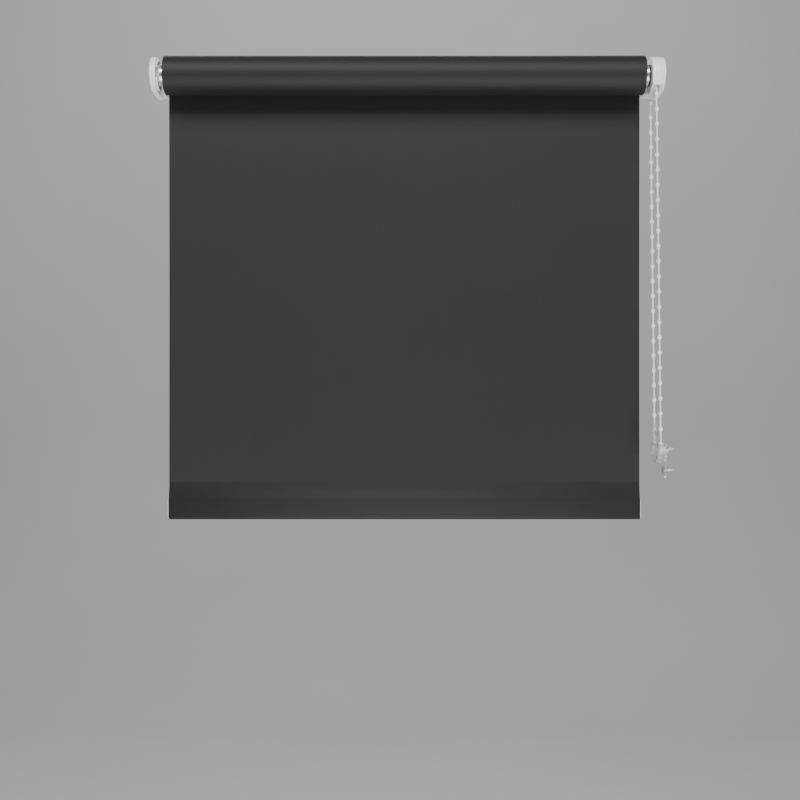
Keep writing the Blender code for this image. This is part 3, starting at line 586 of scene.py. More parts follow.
PLY_COUNT = 3
PLY_PITCH = 0.0042
PLY_HOLLOW = 0.9
PLY_BULGE = 0.1
FIBRE_SPREAD = 0.01
CORD_SIDES = 12
CORD_STEP = 0.0006
BEAD_SIDES = 20
MOUTH_GAP = 0.0006
PATH_STEPS = 180
CONNECTOR_LIP = 0.0006
CONNECTOR_SIDES = 40
EDGE_ANGLES = (0.0, 0.5, 1.0, 1.57)


def cord_tube(name, start, end):
    """Three plies twisted into a cord, as one tube that bulges at each ply."""
    count = round(abs(end - start) / CORD_STEP)
    rows = []
    places = []
    for i in range(count + 1):
        s = start + (end - start) * i / count
        middle, _, across, out = chain_frame(s)
        row = []
        for k in range(CORD_SIDES):
            angle = 2 * math.pi * k / CORD_SIDES
            twist = PLY_COUNT * (angle - 2 * math.pi * s / PLY_PITCH)
            radius = CORD_RADIUS * (PLY_HOLLOW + PLY_BULGE * abs(math.cos(twist / 2)))
            row.append(middle + spoke(across, out, angle, radius))
            places.append((s, (angle / (2 * math.pi) - s / PLY_PITCH) * FIBRE_SPREAD, 0.0))
        rows.append(row)
    piece = to_piece(name, skin(rows), CORD)
    tag_cloth(piece, places)
    return piece


def bead_profile():
    """A moulded bead's (distance, radius) outline: a rounded ball with a short neck at each end."""
    neck, neck_radius, rise = 0.0026, 0.00112, 0.0020
    rings, first, span = 13, 0.9, 13.8
    fullness = 0.9
    bore = CORD_RADIUS * 0.9
    ball = []
    for i in range(rings):
        angle = math.pi * (i + first) / span
        along = -rise * math.cos(angle)
        ball.append((along, max(BEAD_RADIUS * math.sin(angle) ** fullness, neck_radius)))
    return [(-neck, bore), (-neck, neck_radius)] + ball + [(neck, neck_radius), (neck, bore)]


def beads(name, indexes):
    """The chain's beads with the given indexes, as one mesh."""
    profile = bead_profile()
    sides = BEAD_SIDES
    bm = bmesh.new()
    for index in indexes:
        middle, ahead, across, out = chain_frame(-FIRST_BEAD_DROP + index * CHAIN_PITCH)
        rings = []
        for along, radius in profile:
            centre = middle + ahead * along
            points = [centre + spoke(across, out, angle, radius) for angle in turns_of(sides)]
            rings.append([bm.verts.new(point) for point in points])
        for a, b in zip(rings, rings[1:] + rings[:1]):
            for i in range(sides):
                j = (i + 1) % sides
                bm.faces.new((a[i], a[j], b[j], b[i]))
    return to_piece(name, bm, WHITE, sharp=60)


def make_chain():
    """The free loop below the guard, the stretch inside it, and the link that joins the chain's ends."""
    turn = math.pi * PITCH_RADIUS
    mouth = GUARD_SKIRT + MOUTH_GAP
    back_mouth = turn + mouth
    front_mouth = CHAIN_LENGTH - mouth
    loop = cord_tube("chain_cord", front_mouth, back_mouth)
    reach = back_mouth - front_mouth
    path = [chain_point(front_mouth + reach * i / PATH_STEPS) for i in range(PATH_STEPS + 1)]
    outside = []
    inside = []
    for index in range(CHAIN_BEADS):
        s = (-FIRST_BEAD_DROP + index * CHAIN_PITCH) % CHAIN_LENGTH
        (outside if back_mouth < s < front_mouth else inside).append(index)
    loop_beads = beads("chain_beads", outside)
    stand_in(loop, "brackets", "white_plastic", "ball_chain")
    stand_in(loop_beads, "brackets", "white_plastic")
    over = cord_tube("chain_cord_over_wheel", -mouth, back_mouth)
    stand_in(over, "brackets", "white_plastic")
    stand_in(beads("chain_beads_over_wheel", inside), "brackets", "white_plastic")

    middle, ahead, across, out = chain_frame(-FIRST_BEAD_DROP + CONNECTOR_BEAD * CHAIN_PITCH)
    low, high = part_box("chain_connector")
    half = (high.z - low.z) / 2
    outer = (high.x - low.x) / 2
    bore = BEAD_RADIUS + CLEARANCE
    lip = CONNECTOR_LIP
    rounding = EDGE_ANGLES[1:]
    shape = [(-half, bore), (-half, outer - lip)]
    shape += [(-half + lip * (1 - math.cos(a)), outer - lip * (1 - math.sin(a))) for a in rounding]
    shape += [(half - lip * (1 - math.cos(a)), outer - lip * (1 - math.sin(a))) for a in reversed(rounding)]
    shape += [(half, outer - lip), (half, bore)]
    rows = []
    for along, radius in shape:
        centre = middle + ahead * along
        rows.append([centre + spoke(across, out, a, radius) for a in turns_of(CONNECTOR_SIDES)])
    shell = to_piece("chain_connector_shell", skin(rows, closed=True), CLEAR, sharp=45)
    stand_in(shell, "brackets", "clear_plastic", "chain_connector")


make_chain()


# ---- Fabric ----
WRAP_START = 345
WOUND_TURNS = 15
WOUND_THICKNESS = 0.00037
CLOTH_BOW = 0.0006
CLOTH_RIPPLE = 0.00022
HEM_LIP = 0.016
HEM_LIP_HALF = 0.00036
HEM_MOUTH_HALF = 0.00027
HEM_TUCK = 0.002
WOUND_STEPS = 72
WOUND_GAP = 0.00003
WOUND_SWAY = 0.0008
WOUND_JITTER = 0.00012


def ripple(x, share):
    """How far the hanging cloth stands off its plane: a faint slow wave that dies out at its ends."""
    wave = math.sin(x * 41 + 1.3)
    wave += 0.6 * math.sin(x * 73 + share * 5.0)
    wave += 0.4 * math.sin(x * 19 - share * 7.0)
    return CLOTH_RIPPLE * wave * math.sin(math.pi * share) ** 2


def make_drop():
    """The outermost wrap of cloth, and the stretch that hangs from it down into the hem."""
    wrap_radius = ROLL_RADIUS - FABRIC_THICKNESS / 2
    wrap_steps, drop_steps, columns = 120, 150, 60
    top_y = AXIS_Y + wrap_radius
    foot_z = HEM_HIGH.z - HEM_TUCK
    line = []
    for i in range(wrap_steps):
        angle = math.radians(WRAP_START * (1 - i / wrap_steps))
        line.append((0.0, *polar(AXIS, angle, wrap_radius), math.cos(angle), math.sin(angle)))
    for i in range(drop_steps + 1):
        share = i / drop_steps
        y = top_y + (HEM_Y - top_y) * share + CLOTH_BOW * math.sin(math.pi * share) ** 2
        line.append((share, y, foot_z * share, 1.0, 0.0))
    bm = bmesh.new()
    sides = {1: [], -1: []}
    places = []
    half = FABRIC_THICKNESS / 2
    for side in (1, -1):
        run = 0.0
        for i, (share, y, z, out_y, out_z) in enumerate(line):
            if i:
                run += math.dist((y, z), line[i - 1][1:3])
            row = []
            for k in range(columns + 1):
                x = FABRIC_LEFT + FABRIC_WIDTH * k / columns
                off = side * half + ripple(x, share)
                row.append(bm.verts.new((x, y + out_y * off, z + out_z * off)))
                places.append((x, run, 0.0))
            sides[side].append(row)
    for side in (1, -1):
        rows = sides[side]
        for a, b in zip(rows, rows[1:]):
            for k in range(columns):
                bm.faces.new((a[k], a[k + 1], b[k + 1], b[k]))
    front, back = sides[1], sides[-1]
    for k in range(columns):
        for row in (0, -1):
            bm.faces.new((front[row][k], front[row][k + 1], back[row][k + 1], back[row][k]))
    for i in range(len(line) - 1):
        for k in (0, -1):
            bm.faces.new((front[i][k], front[i + 1][k], back[i + 1][k], back[i][k]))
    drop = to_piece("fabric_drop_cloth", bm, FABRIC, sharp=50)
    tag_cloth(drop, places)
    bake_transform(drop)
    stand_in(drop, None, "blackout_fabric", "fabric_drop")
    return drop, run


def wound_shift(turn):
    """How far a layer lies to one side: cloth never winds up perfectly flush."""
    return WOUND_SWAY * math.sin(0.9 * turn + 0.4) + WOUND_JITTER * math.sin(5.1 * turn)


def make_roll():
    """The cloth still wound on the tube, as one spiral whose layers show at its ends."""
    first = TUBE_RADIUS + CLEARANCE
    last = ROLL_RADIUS - FABRIC_THICKNESS - WOUND_THICKNESS - WOUND_GAP
    steps = WOUND_STEPS * WOUND_TURNS
    rows = []
    places = []
    run = 0.0
    for i in range(steps + 1):
        turn = WOUND_TURNS * i / steps
        angle = math.radians(WRAP_START) - 2 * math.pi * (turn - WOUND_TURNS)
        inner = first + (last - first) * turn / WOUND_TURNS
        outer = inner + WOUND_THICKNESS
        shift = wound_shift(turn)
        ends = (FABRIC_LEFT + shift, FABRIC_RIGHT + shift)
        corners = [(ends[0], inner), (ends[0], outer), (ends[1], outer), (ends[1], inner)]
        rows.append([(x, *polar(AXIS, angle, radius)) for x, radius in corners])
        places += [(x, run, 0.0) for x, _ in corners]
        run += 2 * math.pi * inner * WOUND_TURNS / steps
    roll = to_piece("fabric_roll_wound", skin(rows), FABRIC, sharp=50)
    tag_cloth(roll, places)
    stand_in(roll, "roller", "blackout_fabric", "fabric_roll")
    return roll


def hem_outline(inset):
    """The hem pocket's section: an oval round the bar, drawn to a narrow welded lip at its top."""
    wide = (HEM_HIGH.y - HEM_LOW.y) / 2 - inset
    lip = max(HEM_LIP_HALF - inset, HEM_MOUTH_HALF)
    foot = HEM_LOW.z + (HEM_HIGH.y - HEM_LOW.y) / 2
    shoulder = HEM_HIGH.z - (HEM_HIGH.y - HEM_LOW.y) / 2
    top = HEM_HIGH.z + HEM_LIP - inset
    bottom = arc((HEM_Y, foot), wide, 180, 360, 20)
    steps = 14
    flare = []
    for i in range(steps + 1):
        share = i / steps
        ease = (1 - math.cos(math.pi * share ** 0.8)) / 2
        flare.append((wide + (lip - wide) * ease, shoulder + (top - shoulder) * share))
    right = [(HEM_Y + y, z) for y, z in flare]
    left = [(HEM_Y - y, z) for y, z in reversed(flare)]
    return bottom + right + left


def make_hem():
    """The cloth pocket that carries the bar."""
    outer, inner = hem_outline(0.0), hem_outline(FABRIC_THICKNESS)
    soft = FABRIC_THICKNESS / 3
    middle = hem_outline(soft)
    rows = [
        (FABRIC_LEFT, inner), (FABRIC_LEFT, middle), (FABRIC_LEFT + soft, outer),
        (FABRIC_RIGHT - soft, outer), (FABRIC_RIGHT, middle), (FABRIC_RIGHT, inner),
    ]
    hem = stations("hem_pocket_cloth", rows, FABRIC, closed=True, sharp=50)
    lengths = [0.0]
    for a, b in zip(outer, outer[1:]):
        lengths.append(lengths[-1] + math.dist(a, b))
    tag_cloth(hem, [(x, length, 0.0) for x, _ in rows for length in lengths])
    return stand_in(hem, "bottom_bar", "blackout_fabric", "hem_pocket")


def stadium(width, height, centre, steps=20):
    """An upright oval with straight sides and round ends."""
    radius = width / 2
    rise = height / 2 - radius
    top = arc((centre[0], centre[1] + rise), radius, 0, 180, steps)
    return top + arc((centre[0], centre[1] - rise), radius, 180, 360, steps)


BAR_WALL = 0.0009
CAP_PLATE = 0.0009
CAP_EDGE = 0.0004
TONGUE_LEAD = 0.0008
CAP_RIM = 0.0016
CAP_DISH_RIM = 0.0019
CAP_DISH = 0.0002


def make_bar_caps():
    """Moulded end caps: a rounded plate over the hem's end and a tongue in the bar."""
    centre = (HEM_Y, (HEM_LOW.z + HEM_HIGH.z) / 2)
    bar_low, bar_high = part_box("bottom_bar")
    wall = BAR_WALL + CLEARANCE
    tongue = ((bar_high.y - bar_low.y) - 2 * wall, (bar_high.z - bar_low.z) - 2 * wall)
    for side in ("left", "right"):
        low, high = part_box(f"bottom_bar_cap_{side}")
        if side == "left":
            face, root, tip = low.x, low.x + CAP_PLATE, high.x
        else:
            face, root, tip = high.x, high.x - CAP_PLATE, low.x
        out = math.copysign(1, face - root)
        wide, tall = high.y - low.y, high.z - low.z

        def plate(inset):
            return stadium(wide - 2 * inset, tall - 2 * inset, centre)

        inner = stadium(*tongue, centre)
        blunt = stadium(tongue[0] - TONGUE_LEAD, tongue[1] - TONGUE_LEAD, centre)
        rows = [(tip, blunt), (tip + out * TONGUE_LEAD, inner), (root, inner), (root, plate(0.0))]
        for angle in EDGE_ANGLES:
            inset = CAP_EDGE * (1 - math.cos(angle))
            rows.append((face - out * CAP_EDGE * (1 - math.sin(angle)), plate(inset)))
        rows += [(face, plate(CAP_RIM)), (face - out * CAP_DISH, plate(CAP_DISH_RIM))]
        cap = stations(f"bottom_bar_cap_{side}_moulded", rows, GREY, sharp=40)
        stand_in(cap, "bottom_bar", "grey_plastic", f"bottom_bar_cap_{side}")


drop, drop_length = make_drop()
roll = make_roll()
hem = make_hem()
make_bar_caps()


# ---- Tube and its end fittings ----
def keyed(radius, key_width=None, key_radius=None, steps=120):
    """A circle about the roller's axis, with a parallel-sided notch at its top if it has a width."""
    top = math.pi / 2
    if key_width is None:
        count = steps + 3
        return [polar(AXIS, top + (i + 1.5) * 2 * math.pi / count, radius) for i in range(count)]
    edge = math.asin(key_width / 2 / radius)
    foot = math.asin(key_width / 2 / key_radius)
    turn = 2 * math.pi - 2 * edge
    body = [polar(AXIS, top + edge + turn * i / steps, radius) for i in range(steps + 1)]
    return body + [polar(AXIS, top - foot, key_radius), polar(AXIS, top + foot, key_radius)]


RIB_WIDTH = KEYWAY_WIDTH + 2 * TUBE_WALL
RIB_RADIUS = TUBE_RADIUS - KEYWAY_DEPTH - TUBE_WALL
FITTING_RADIUS = TUBE_RADIUS - TUBE_WALL - CLEARANCE
SAW_CUT = 0.00015
FLANGE_EDGE = 0.0002
FLANGE_RIM = 0.001
HUB_RING = 0.0011
GROOVE_SLOPE = 0.0002
BARREL_RIB_WIDTH = 0.0036
BARREL_RIB_RADIUS = 0.0063
BARREL_LIP = 0.0003
SPRING_STEPS = 40
WIRE_SIDES = 12


def fitting_outline():
    """A fitting's section: the tube's bore less its clearance, notched for the keyway's rib."""
    return keyed(FITTING_RADIUS, RIB_WIDTH + 2 * CLEARANCE, RIB_RADIUS - CLEARANCE)


def make_tube():
    """The keyed aluminium tube, with its saw-cut ends lightly broken."""
    start, end = TUBE_LOW.x, TUBE_HIGH.x

    def outside(inset):
        return keyed(TUBE_RADIUS - inset, KEYWAY_WIDTH + 2 * inset, TUBE_RADIUS - KEYWAY_DEPTH - inset)

    inside = keyed(TUBE_RADIUS - TUBE_WALL, RIB_WIDTH, RIB_RADIUS)
    rows = [
        (start, inside), (start, outside(SAW_CUT)), (start + SAW_CUT, outside(0.0)),
        (end - SAW_CUT, outside(0.0)), (end, outside(SAW_CUT)), (end, inside),
    ]
    tube = stations("roller_tube_extrusion", rows, ALUMINIUM, closed=True, sharp=30)
    stand_in(tube, "roller", "aluminium", "roller_tube")


def flange_profile(face, direction, bore, thickness):
    """(x, radius) stations over a fitting's flange: a hub ring, a shallow groove and a rounded rim."""
    edge = FLANGE_EDGE
    sunk = face + direction * thickness * 0.4
    hub, groove_out = bore + HUB_RING, TUBE_RADIUS - FLANGE_RIM
    groove_in = bore + (HUB_RING + GROOVE_SLOPE)
    return [
        (face, bore), (face, hub), (sunk, groove_in), (sunk, groove_out), (face, groove_out + GROOVE_SLOPE),
        (face, TUBE_RADIUS - edge), (face + direction * edge, TUBE_RADIUS),
        (face + direction * thickness, TUBE_RADIUS),
    ]


def make_end_fittings():
    """The sprung pin's plug at the left end and the clutch's drive barrel at the right end."""
    low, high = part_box("idle_plug")
    bore, wall, flange = 0.0063, 0.002, 0.0007
    rows = [(x, keyed(r)) for x, r in flange_profile(low.x, 1, bore, flange)]
    rows += [(low.x + flange, fitting_outline()), (high.x, fitting_outline())]
    rows += [(high.x, keyed(PIN_HOLE)), (high.x - wall, keyed(PIN_HOLE)), (high.x - wall, keyed(bore))]
    plug = stations("idle_plug_moulded", rows, WHITE, closed=True, sharp=30)
    stand_in(plug, "roller", "white_plastic", "idle_plug")

    low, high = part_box("drive_barrel")
    bore, wall, flange, through = 0.0073, 0.0025, 0.001, 0.0048
    ribbed = keyed(bore, BARREL_RIB_WIDTH, BARREL_RIB_RADIUS)
    rows = [(x, keyed(r)) for x, r in flange_profile(high.x, -1, bore + FLANGE_EDGE, flange)]
    rows += [(high.x - flange, fitting_outline()), (low.x, fitting_outline()), (low.x, keyed(through))]
    rows += [(low.x + wall, keyed(through)), (low.x + wall, ribbed), (high.x - BARREL_LIP, ribbed)]
    barrel = stations("drive_barrel_moulded", rows, DARK, closed=True, sharp=30)
    stand_in(barrel, "roller", "dark_plastic", "drive_barrel")


def make_pin_spring():
    """The coil behind the idle pin, built at rest: the real coil shortens against its inner end as the pin
    is pushed in, but this mesh does not.
    """
    low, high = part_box("idle_pin_spring")
    wire = high.z - PIN_SPRING_RADIUS
    start, end = low.x + wire, high.x - wire
    steps = SPRING_STEPS * PIN_SPRING_TURNS
    rows = []
    for i in range(steps + 1):
        angle = 2 * math.pi * PIN_SPRING_TURNS * i / steps
        x = start + (end - start) * i / steps
        ring = []
        for a in turns_of(WIRE_SIDES):
            radius = PIN_SPRING_RADIUS + wire * math.cos(a)
            ring.append((x + wire * math.sin(a), *polar(AXIS, angle, radius)))
        rows.append(ring)
    spring = to_piece("idle_pin_spring_coil", skin(rows), STEEL)
    stand_in(spring, "roller", "plated_steel", "idle_pin_spring")
    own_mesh(spring)


make_tube()
make_end_fittings()
make_pin_spring()


# ---- Screws ----
THREAD_PITCH = 0.0014
THREAD_DEPTH = 0.00045
THREAD_STEP = 0.0002
SCREW_SIDES = 24
HEAD_EDGE = 0.00015
PLAIN_NECK = 0.0016
POINT_LENGTH = 0.003
POINT_BLUNTNESS = 0.12
CROSS_DEPTH = 0.0014
CROSS_ARM = 0.0017
CROSS_SLOT = 0.00038


def make_screw(node, body, direction, length=SCREW_LENGTH):
    """A countersunk cross-head wood screw, from its CAD node's place."""
    low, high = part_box(node)
    middle = (low + high) / 2
    direction = Vector(direction)
    head = middle - direction * length / 2
    turns = turns_of(SCREW_SIDES)
    shape = [
        (0.0, SCREW_HEAD_RADIUS - HEAD_EDGE), (HEAD_EDGE, SCREW_HEAD_RADIUS),
        (SCREW_HEAD_DEPTH, SCREW_RADIUS),
    ]
    rows = [[(r * math.cos(a), r * math.sin(a), along) for a in turns] for along, r in shape]
    start, step = SCREW_HEAD_DEPTH + PLAIN_NECK, THREAD_STEP
    count = int((length - start) / step)
    for i in range(count + 1):
        along = start + step * i
        taper = min(1.0, (length - along) / POINT_LENGTH + POINT_BLUNTNESS)
        row = []
        for a in turns:
            phase = (along / THREAD_PITCH - a / (2 * math.pi)) % 1
            crest = max(0.0, 1 - abs(phase - 0.5) * 4)
            radius = (SCREW_RADIUS - THREAD_DEPTH * (1 - crest)) * taper
            row.append((radius * math.cos(a), radius * math.sin(a), along))
        rows.append(row)
    screw = to_piece(f"{node}_threaded", skin(rows), STEEL, sharp=50)
    deep = CROSS_DEPTH
    for wide, tall in ((CROSS_ARM, CROSS_SLOT), (CROSS_SLOT, CROSS_ARM)):
        corners = [(-wide, -tall), (wide, -tall), (wide, tall), (-wide, tall)]
        cross = skin([[(x, y, -deep) for x, y in corners], [(x * 0.6, y * 0.8, deep) for x, y in corners]])
        carve(screw, to_piece("cross", cross, STEEL))
    turn = Vector((0, 0, 1)).rotation_difference(direction).to_matrix().to_4x4()
    screw.data.transform(Matrix.Translation(head) @ turn)
    stand_in(screw, body, "plated_steel", node)


# ---- Brackets ----
PAST = 0.001
SINK_SIDES = 40
COVER_STEP = 0.0001


def cheek_outline(radius, back, steps=64):
    """A bracket cheek seen from the side: a round nose in front and straight edges to the wall."""
    return arc(AXIS, radius, 90, 270, steps) + [(back, -radius), (back, radius)]


def bracket_base(name, cheek, foot, screw_x):
    """A cheek with its wall foot and two countersunk screw holes."""
    base = prism(name, cheek_outline(BRACKET_RADIUS, 0.0), *cheek)
    low = (foot[0], -FOOT_THICKNESS, -FOOT_HEIGHT / 2)
    high = (foot[1], 0.0, FOOT_HEIGHT / 2)
    carve(base, block(low, high), "UNION")
    hole = SCREW_RADIUS + CLEARANCE
    wide = SCREW_HEAD_RADIUS + CLEARANCE
    past = CLEARANCE
    shape = [
        (-FOOT_THICKNESS - past, wide + past), (-FOOT_THICKNESS + SCREW_HEAD_DEPTH, hole), (past, hole),
    ]
    for z in (SCREW_SPACING / 2, -SCREW_SPACING / 2):
        rows = []
        for y, r in shape:
            rows.append([(screw_x + r * math.cos(a), y, z + r * math.sin(a)) for a in turns_of(SINK_SIDES)])
        carve(base, to_piece("sink", skin(rows), WHITE))
    return base


def bracket_cover(node, inside, outside):
    """A thin cover with a fully rounded outer edge."""
    inward = math.copysign(1, inside - outside)
    soft = abs(inside - outside) * 0.55
    snug = CLEARANCE * 0.6
    rows = [(inside + inward * snug, cheek_outline(BRACKET_RADIUS - COVER_STEP, -CLEARANCE))]
    rows.append((inside + inward * (snug - COVER_STEP), cheek_outline(BRACKET_RADIUS, -CLEARANCE)))
    for i in range(7):
        angle = math.pi / 2 * i / 6
        inset = soft * (1 - math.cos(angle))
        outline = cheek_outline(BRACKET_RADIUS - inset, -CLEARANCE - inset)
        rows.append((outside + inward * soft * (1 - math.sin(angle)), outline))
    cover = stations(f"{node}_shell", rows, WHITE, sharp=60)
    stand_in(cover, "brackets", "white_plastic", node)


def make_left_bracket():
    """The idle side's cheek, with a ring and a boss round the pin's socket, and its cover."""
    outer, inner = LEFT_LOW.x, LEFT_LOW.x + LEFT_CHEEK
    face = inner + BOSS_HEIGHT
    root = inner - LEFT_CHEEK / 2
    screw_x = inner + (FOOT_WIDTH - LEFT_CHEEK) / 2
    foot = (outer + CLEARANCE, outer + FOOT_WIDTH)
    base = bracket_base("left_bracket_moulding", (outer, inner), foot, screw_x)
    carve(base, prism("boss", circle(BOSS_RADIUS, 64), root, face), "UNION")
    wide, narrow = circle(RING_RADIUS), circle(RING_RADIUS - RING_WALL)
    rows = [(root, narrow), (root, wide), (face, wide), (face, narrow)]
    ring = stations("ring", rows, WHITE, closed=True)
    low = (root - PAST, AXIS_Y - RING_RADIUS - PAST, -RING_MOUTH / 2)
    high = (face + PAST, AXIS_Y - BOSS_RADIUS, RING_MOUTH / 2)
    carve(ring, block(low, high))
    carve(base, ring, "UNION")
    carve(base, prism("socket", circle(PIN_HOLE, 48), outer - PAST, face + PAST))
    soften(base, MOULDED_EDGE)
    stand_in(base, "brackets", "white_plastic", "left_bracket_base")
    low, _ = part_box("left_bracket_cover")
    bracket_cover("left_bracket_cover", outer - CLEARANCE, low.x)


def make_right_bracket():
    """The chain side's cheek, with a square socket for the clutch's tongue, and its cover."""
    outer = RIGHT_HIGH.x
    inner = outer - RIGHT_CHEEK
    screw_x = inner - (FOOT_WIDTH - RIGHT_CHEEK) / 2
    foot = (outer - FOOT_WIDTH, outer - CLEARANCE)
    base = bracket_base("right_bracket_moulding", (inner, outer), foot, screw_x)
    half = CORE_TONGUE / 2 + CLEARANCE
    carve(base, block((inner - PAST, AXIS_Y - half, -half), (outer + PAST, AXIS_Y + half, half)))
    soften(base, MOULDED_EDGE)
    stand_in(base, "brackets", "white_plastic", "right_bracket_base")
    _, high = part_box("right_bracket_cover")
    bracket_cover("right_bracket_cover", outer + CLEARANCE, high.x)


make_left_bracket()
make_right_bracket()
for bracket_side in ("left", "right"):
    for level in ("upper", "lower"):
        make_screw(f"{bracket_side}_bracket_screw_{level}", "brackets", (0, 1, 0))


# ---- Chain guard and wheel ----
def guard_outline(radius, skirt, steps=72):
    """An arch over the chain wheel, with straight legs down to the skirt."""
    return arc(AXIS, radius, 0, 180, steps) + [(AXIS_Y - radius, -skirt), (AXIS_Y + radius, -skirt)]


def make_guard():
    """The round-cheeked hood over the wheel, open below for the chain."""
    start, end = GUARD_LOW.x, GUARD_HIGH.x
    radius = GUARD_LIP_RADIUS - GUARD_LIP
    guard = prism("chain_guard_hood", guard_outline(radius, GUARD_SKIRT), start, end)
    carve(guard, prism("cheek", circle(GUARD_LIP_RADIUS, 128), start, start + GUARD_WALL), "UNION")
    room = guard_outline(radius - GUARD_WALL, GUARD_SKIRT + GUARD_WALL)
    carve(guard, prism("room", room, start + GUARD_WALL, end + GUARD_WALL))
    hole = circle(SLEEVE_RADIUS + CLEARANCE)
    carve(guard, prism("hole", hole, start - GUARD_WALL, start + 2 * GUARD_WALL))
    soften(guard, THIN_EDGE)
    stand_in(guard, "brackets", "white_plastic", "chain_guard")


def make_wheel():
    """The chain wheel: a groove and six pockets in its rim, and the slotted sleeve behind it."""
    sleeve_start = WHEEL_START - SLEEVE_LENGTH
    hub_start = WHEEL_START - GUARD_WALL - 2 * CLEARANCE
    groove, groove_radius = 0.0013, PITCH_RADIUS - 0.0025
    soft, lip, foot = 0.0003, 0.0002, groove * 0.8
    profile = [
        (sleeve_start, SLEEVE_BORE), (sleeve_start, SLEEVE_RADIUS - soft),
        (sleeve_start + soft, SLEEVE_RADIUS), (WHEEL_START, SLEEVE_RADIUS),
        (WHEEL_START, WHEEL_RADIUS - soft), (WHEEL_START + soft, WHEEL_RADIUS),
        (WHEEL_X - groove - lip, WHEEL_RADIUS), (WHEEL_X - groove, WHEEL_RADIUS - lip),
        (WHEEL_X - foot, groove_radius), (WHEEL_X + foot, groove_radius),
        (WHEEL_X + groove, WHEEL_RADIUS - lip), (WHEEL_X + groove + lip, WHEEL_RADIUS),
        (WHEEL_HIGH.x - soft, WHEEL_RADIUS), (WHEEL_HIGH.x, WHEEL_RADIUS - soft),
        (WHEEL_HIGH.x, HUB_BORE), (hub_start, HUB_BORE), (hub_start, SLEEVE_BORE),
    ]
    wheel = stations("chain_wheel_moulded", [(x, circle(r)) for x, r in profile], WHITE, closed=True)
    half = SLEEVE_SLOT / 2
    low = (sleeve_start - CLEARANCE, AXIS_Y - half, 0.0)
    carve(wheel, block(low, (GUARD_LOW.x, AXIS_Y + half, WHEEL_RADIUS)))
    first = math.pi - (CHAIN_PITCH - FIRST_BEAD_DROP % CHAIN_PITCH) / PITCH_RADIUS
    for i in range(WHEEL_POCKETS):
        y, z = polar(AXIS, first - 2 * math.pi * i / WHEEL_POCKETS, PITCH_RADIUS)
        bm = bmesh.new()
        place = Matrix.Translation((WHEEL_X, y, z))
        size = BEAD_RADIUS + 2 * CLEARANCE
        bmesh.ops.create_uvsphere(bm, u_segments=24, v_segments=14, radius=size, matrix=place)
        carve(wheel, to_piece("pocket", bm, WHITE))
    wheel.data.set_sharp_from_angle(angle=math.radians(35))
    stand_in(wheel, "chain_wheel", "white_plastic", "chain_wheel")


make_guard()
make_wheel()


# ---- Chain tensioner ----
def bowl_outline(outside, rim):
    """A half round with straight sides up to the rim."""
    bowl = arc((AXIS_Y, -STRAND_HEIGHT), outside, 180, 360, 56)
    return [(AXIS_Y - outside, rim)] + bowl + [(AXIS_Y + outside, rim)]


def tab_outline(outside, rim, foot):
    """The back plate: a bowl around the chain's turn with a narrower tab below it."""
    centre = (AXIS_Y, -STRAND_HEIGHT)
    half = TENSIONER_TAB_WIDTH / 2
    corner = TENSIONER_TAB_CORNER
    meet = math.degrees(math.acos(half / outside))
    left = arc(centre, outside, 180, 180 + meet, 28)
    right = arc(centre, outside, 360 - meet, 360, 28)
    tab = arc((AXIS_Y - half + corner, foot + corner), corner, 180, 270, 10)
    tab += arc((AXIS_Y + half - corner, foot + corner), corner, 270, 360, 10)
    return [(AXIS_Y - outside, rim)] + left + tab + right + [(AXIS_Y + outside, rim)]


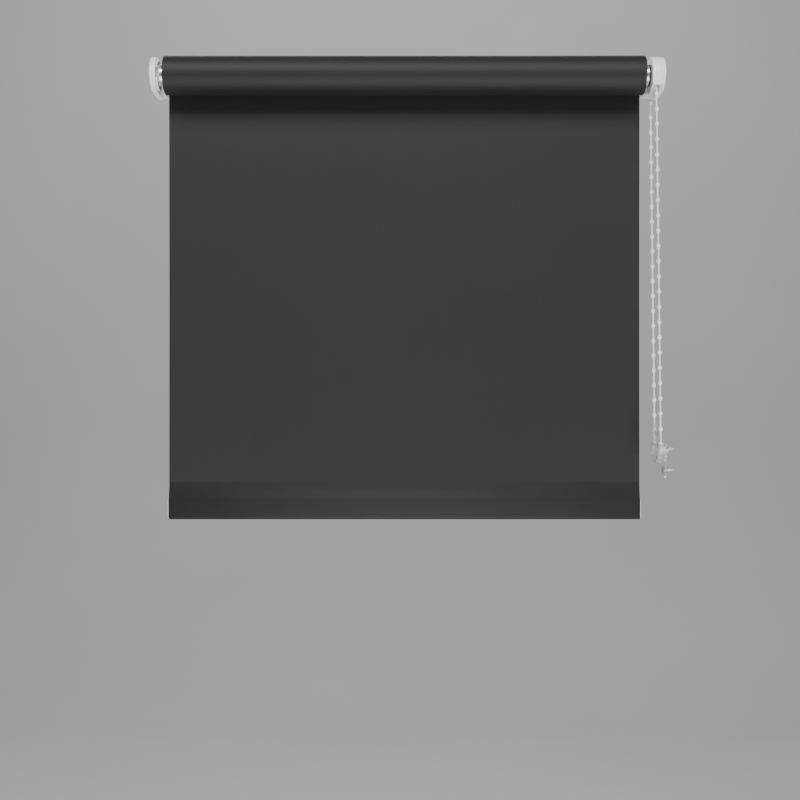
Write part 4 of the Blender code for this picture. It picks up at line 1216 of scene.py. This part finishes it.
def make_tensioner():
    """The clear two-part holder round the chain's lower turn."""
    room = BEAD_RADIUS + TENSIONER_ROOM
    outer_wall, boss = PITCH_RADIUS + room, PITCH_RADIUS - room
    outside = outer_wall + TENSIONER_WALL
    back = TENSION_HIGH.x
    plate_face = back - TENSIONER_PLATE
    open_side = TENSION_LOW.x
    rim = TENSIONER_TOP - STRAND_HEIGHT
    centre = (AXIS_Y, -STRAND_HEIGHT)
    bowl = bowl_outline(outside, rim)
    base = prism("tensioner_base_clear", bowl, open_side, back - TENSIONER_PLATE / 2, CLEAR)
    top = rim + PAST
    inside = arc(centre, boss, 360, 180, 48)
    channel = bowl_outline(outer_wall, top) + [(AXIS_Y + boss, top)] + inside + [(AXIS_Y - boss, top)]
    carve(base, prism("channel", channel, open_side - PAST, plate_face, CLEAR))
    carve(base, prism("plate", tab_outline(outside, rim, TENSION_LOW.z), plate_face, back, CLEAR), "UNION")
    sunk = plate_face + SCREW_HEAD_DEPTH
    for level in ("upper", "lower"):
        node = f"tensioner_screw_{level}"
        low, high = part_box(node)
        place = (AXIS_Y, (low.z + high.z) / 2)
        mouth = open_side - PAST if level == "upper" else plate_face - PAST
        hole = circle(SCREW_RADIUS + CLEARANCE, 40, place)
        wide = circle(SCREW_HEAD_RADIUS + CLEARANCE, 40, place)
        rows = [(mouth, wide), (plate_face, wide), (sunk, hole), (back + PAST, hole)]
        carve(base, stations("sink", rows, CLEAR))
        make_screw(node, "brackets", (1, 0, 0), TENSIONER_SCREW_LENGTH)
        if level == "upper":
            window_place = place
    soften(base, CLEAR_EDGE, 2)
    stand_in(base, "brackets", "clear_plastic", "tensioner_base")

    low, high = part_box("tensioner_cover")
    soft = 0.0005
    rows = [(high.x, bowl), (low.x + soft, bowl), (low.x, bowl_outline(outside - soft, rim - soft))]
    cover = stations("tensioner_cover_clear", rows, CLEAR)
    window = circle(TENSIONER_WINDOW, 64, window_place)
    carve(cover, prism("window", window, low.x - PAST, high.x + PAST, CLEAR))
    soften(cover, THIN_EDGE, 2)
    stand_in(cover, "brackets", "clear_plastic", "tensioner_cover")


make_tensioner()


# ---- CAD nodes that keep their shape ----
for kept_node in (
    "idle_bush", "idle_pin", "fabric_spline", "clutch_core", "core_retaining_clip",
    "brake_spring_inner", "brake_spring_outer", "bottom_bar",
):
    carry_over(kept_node)
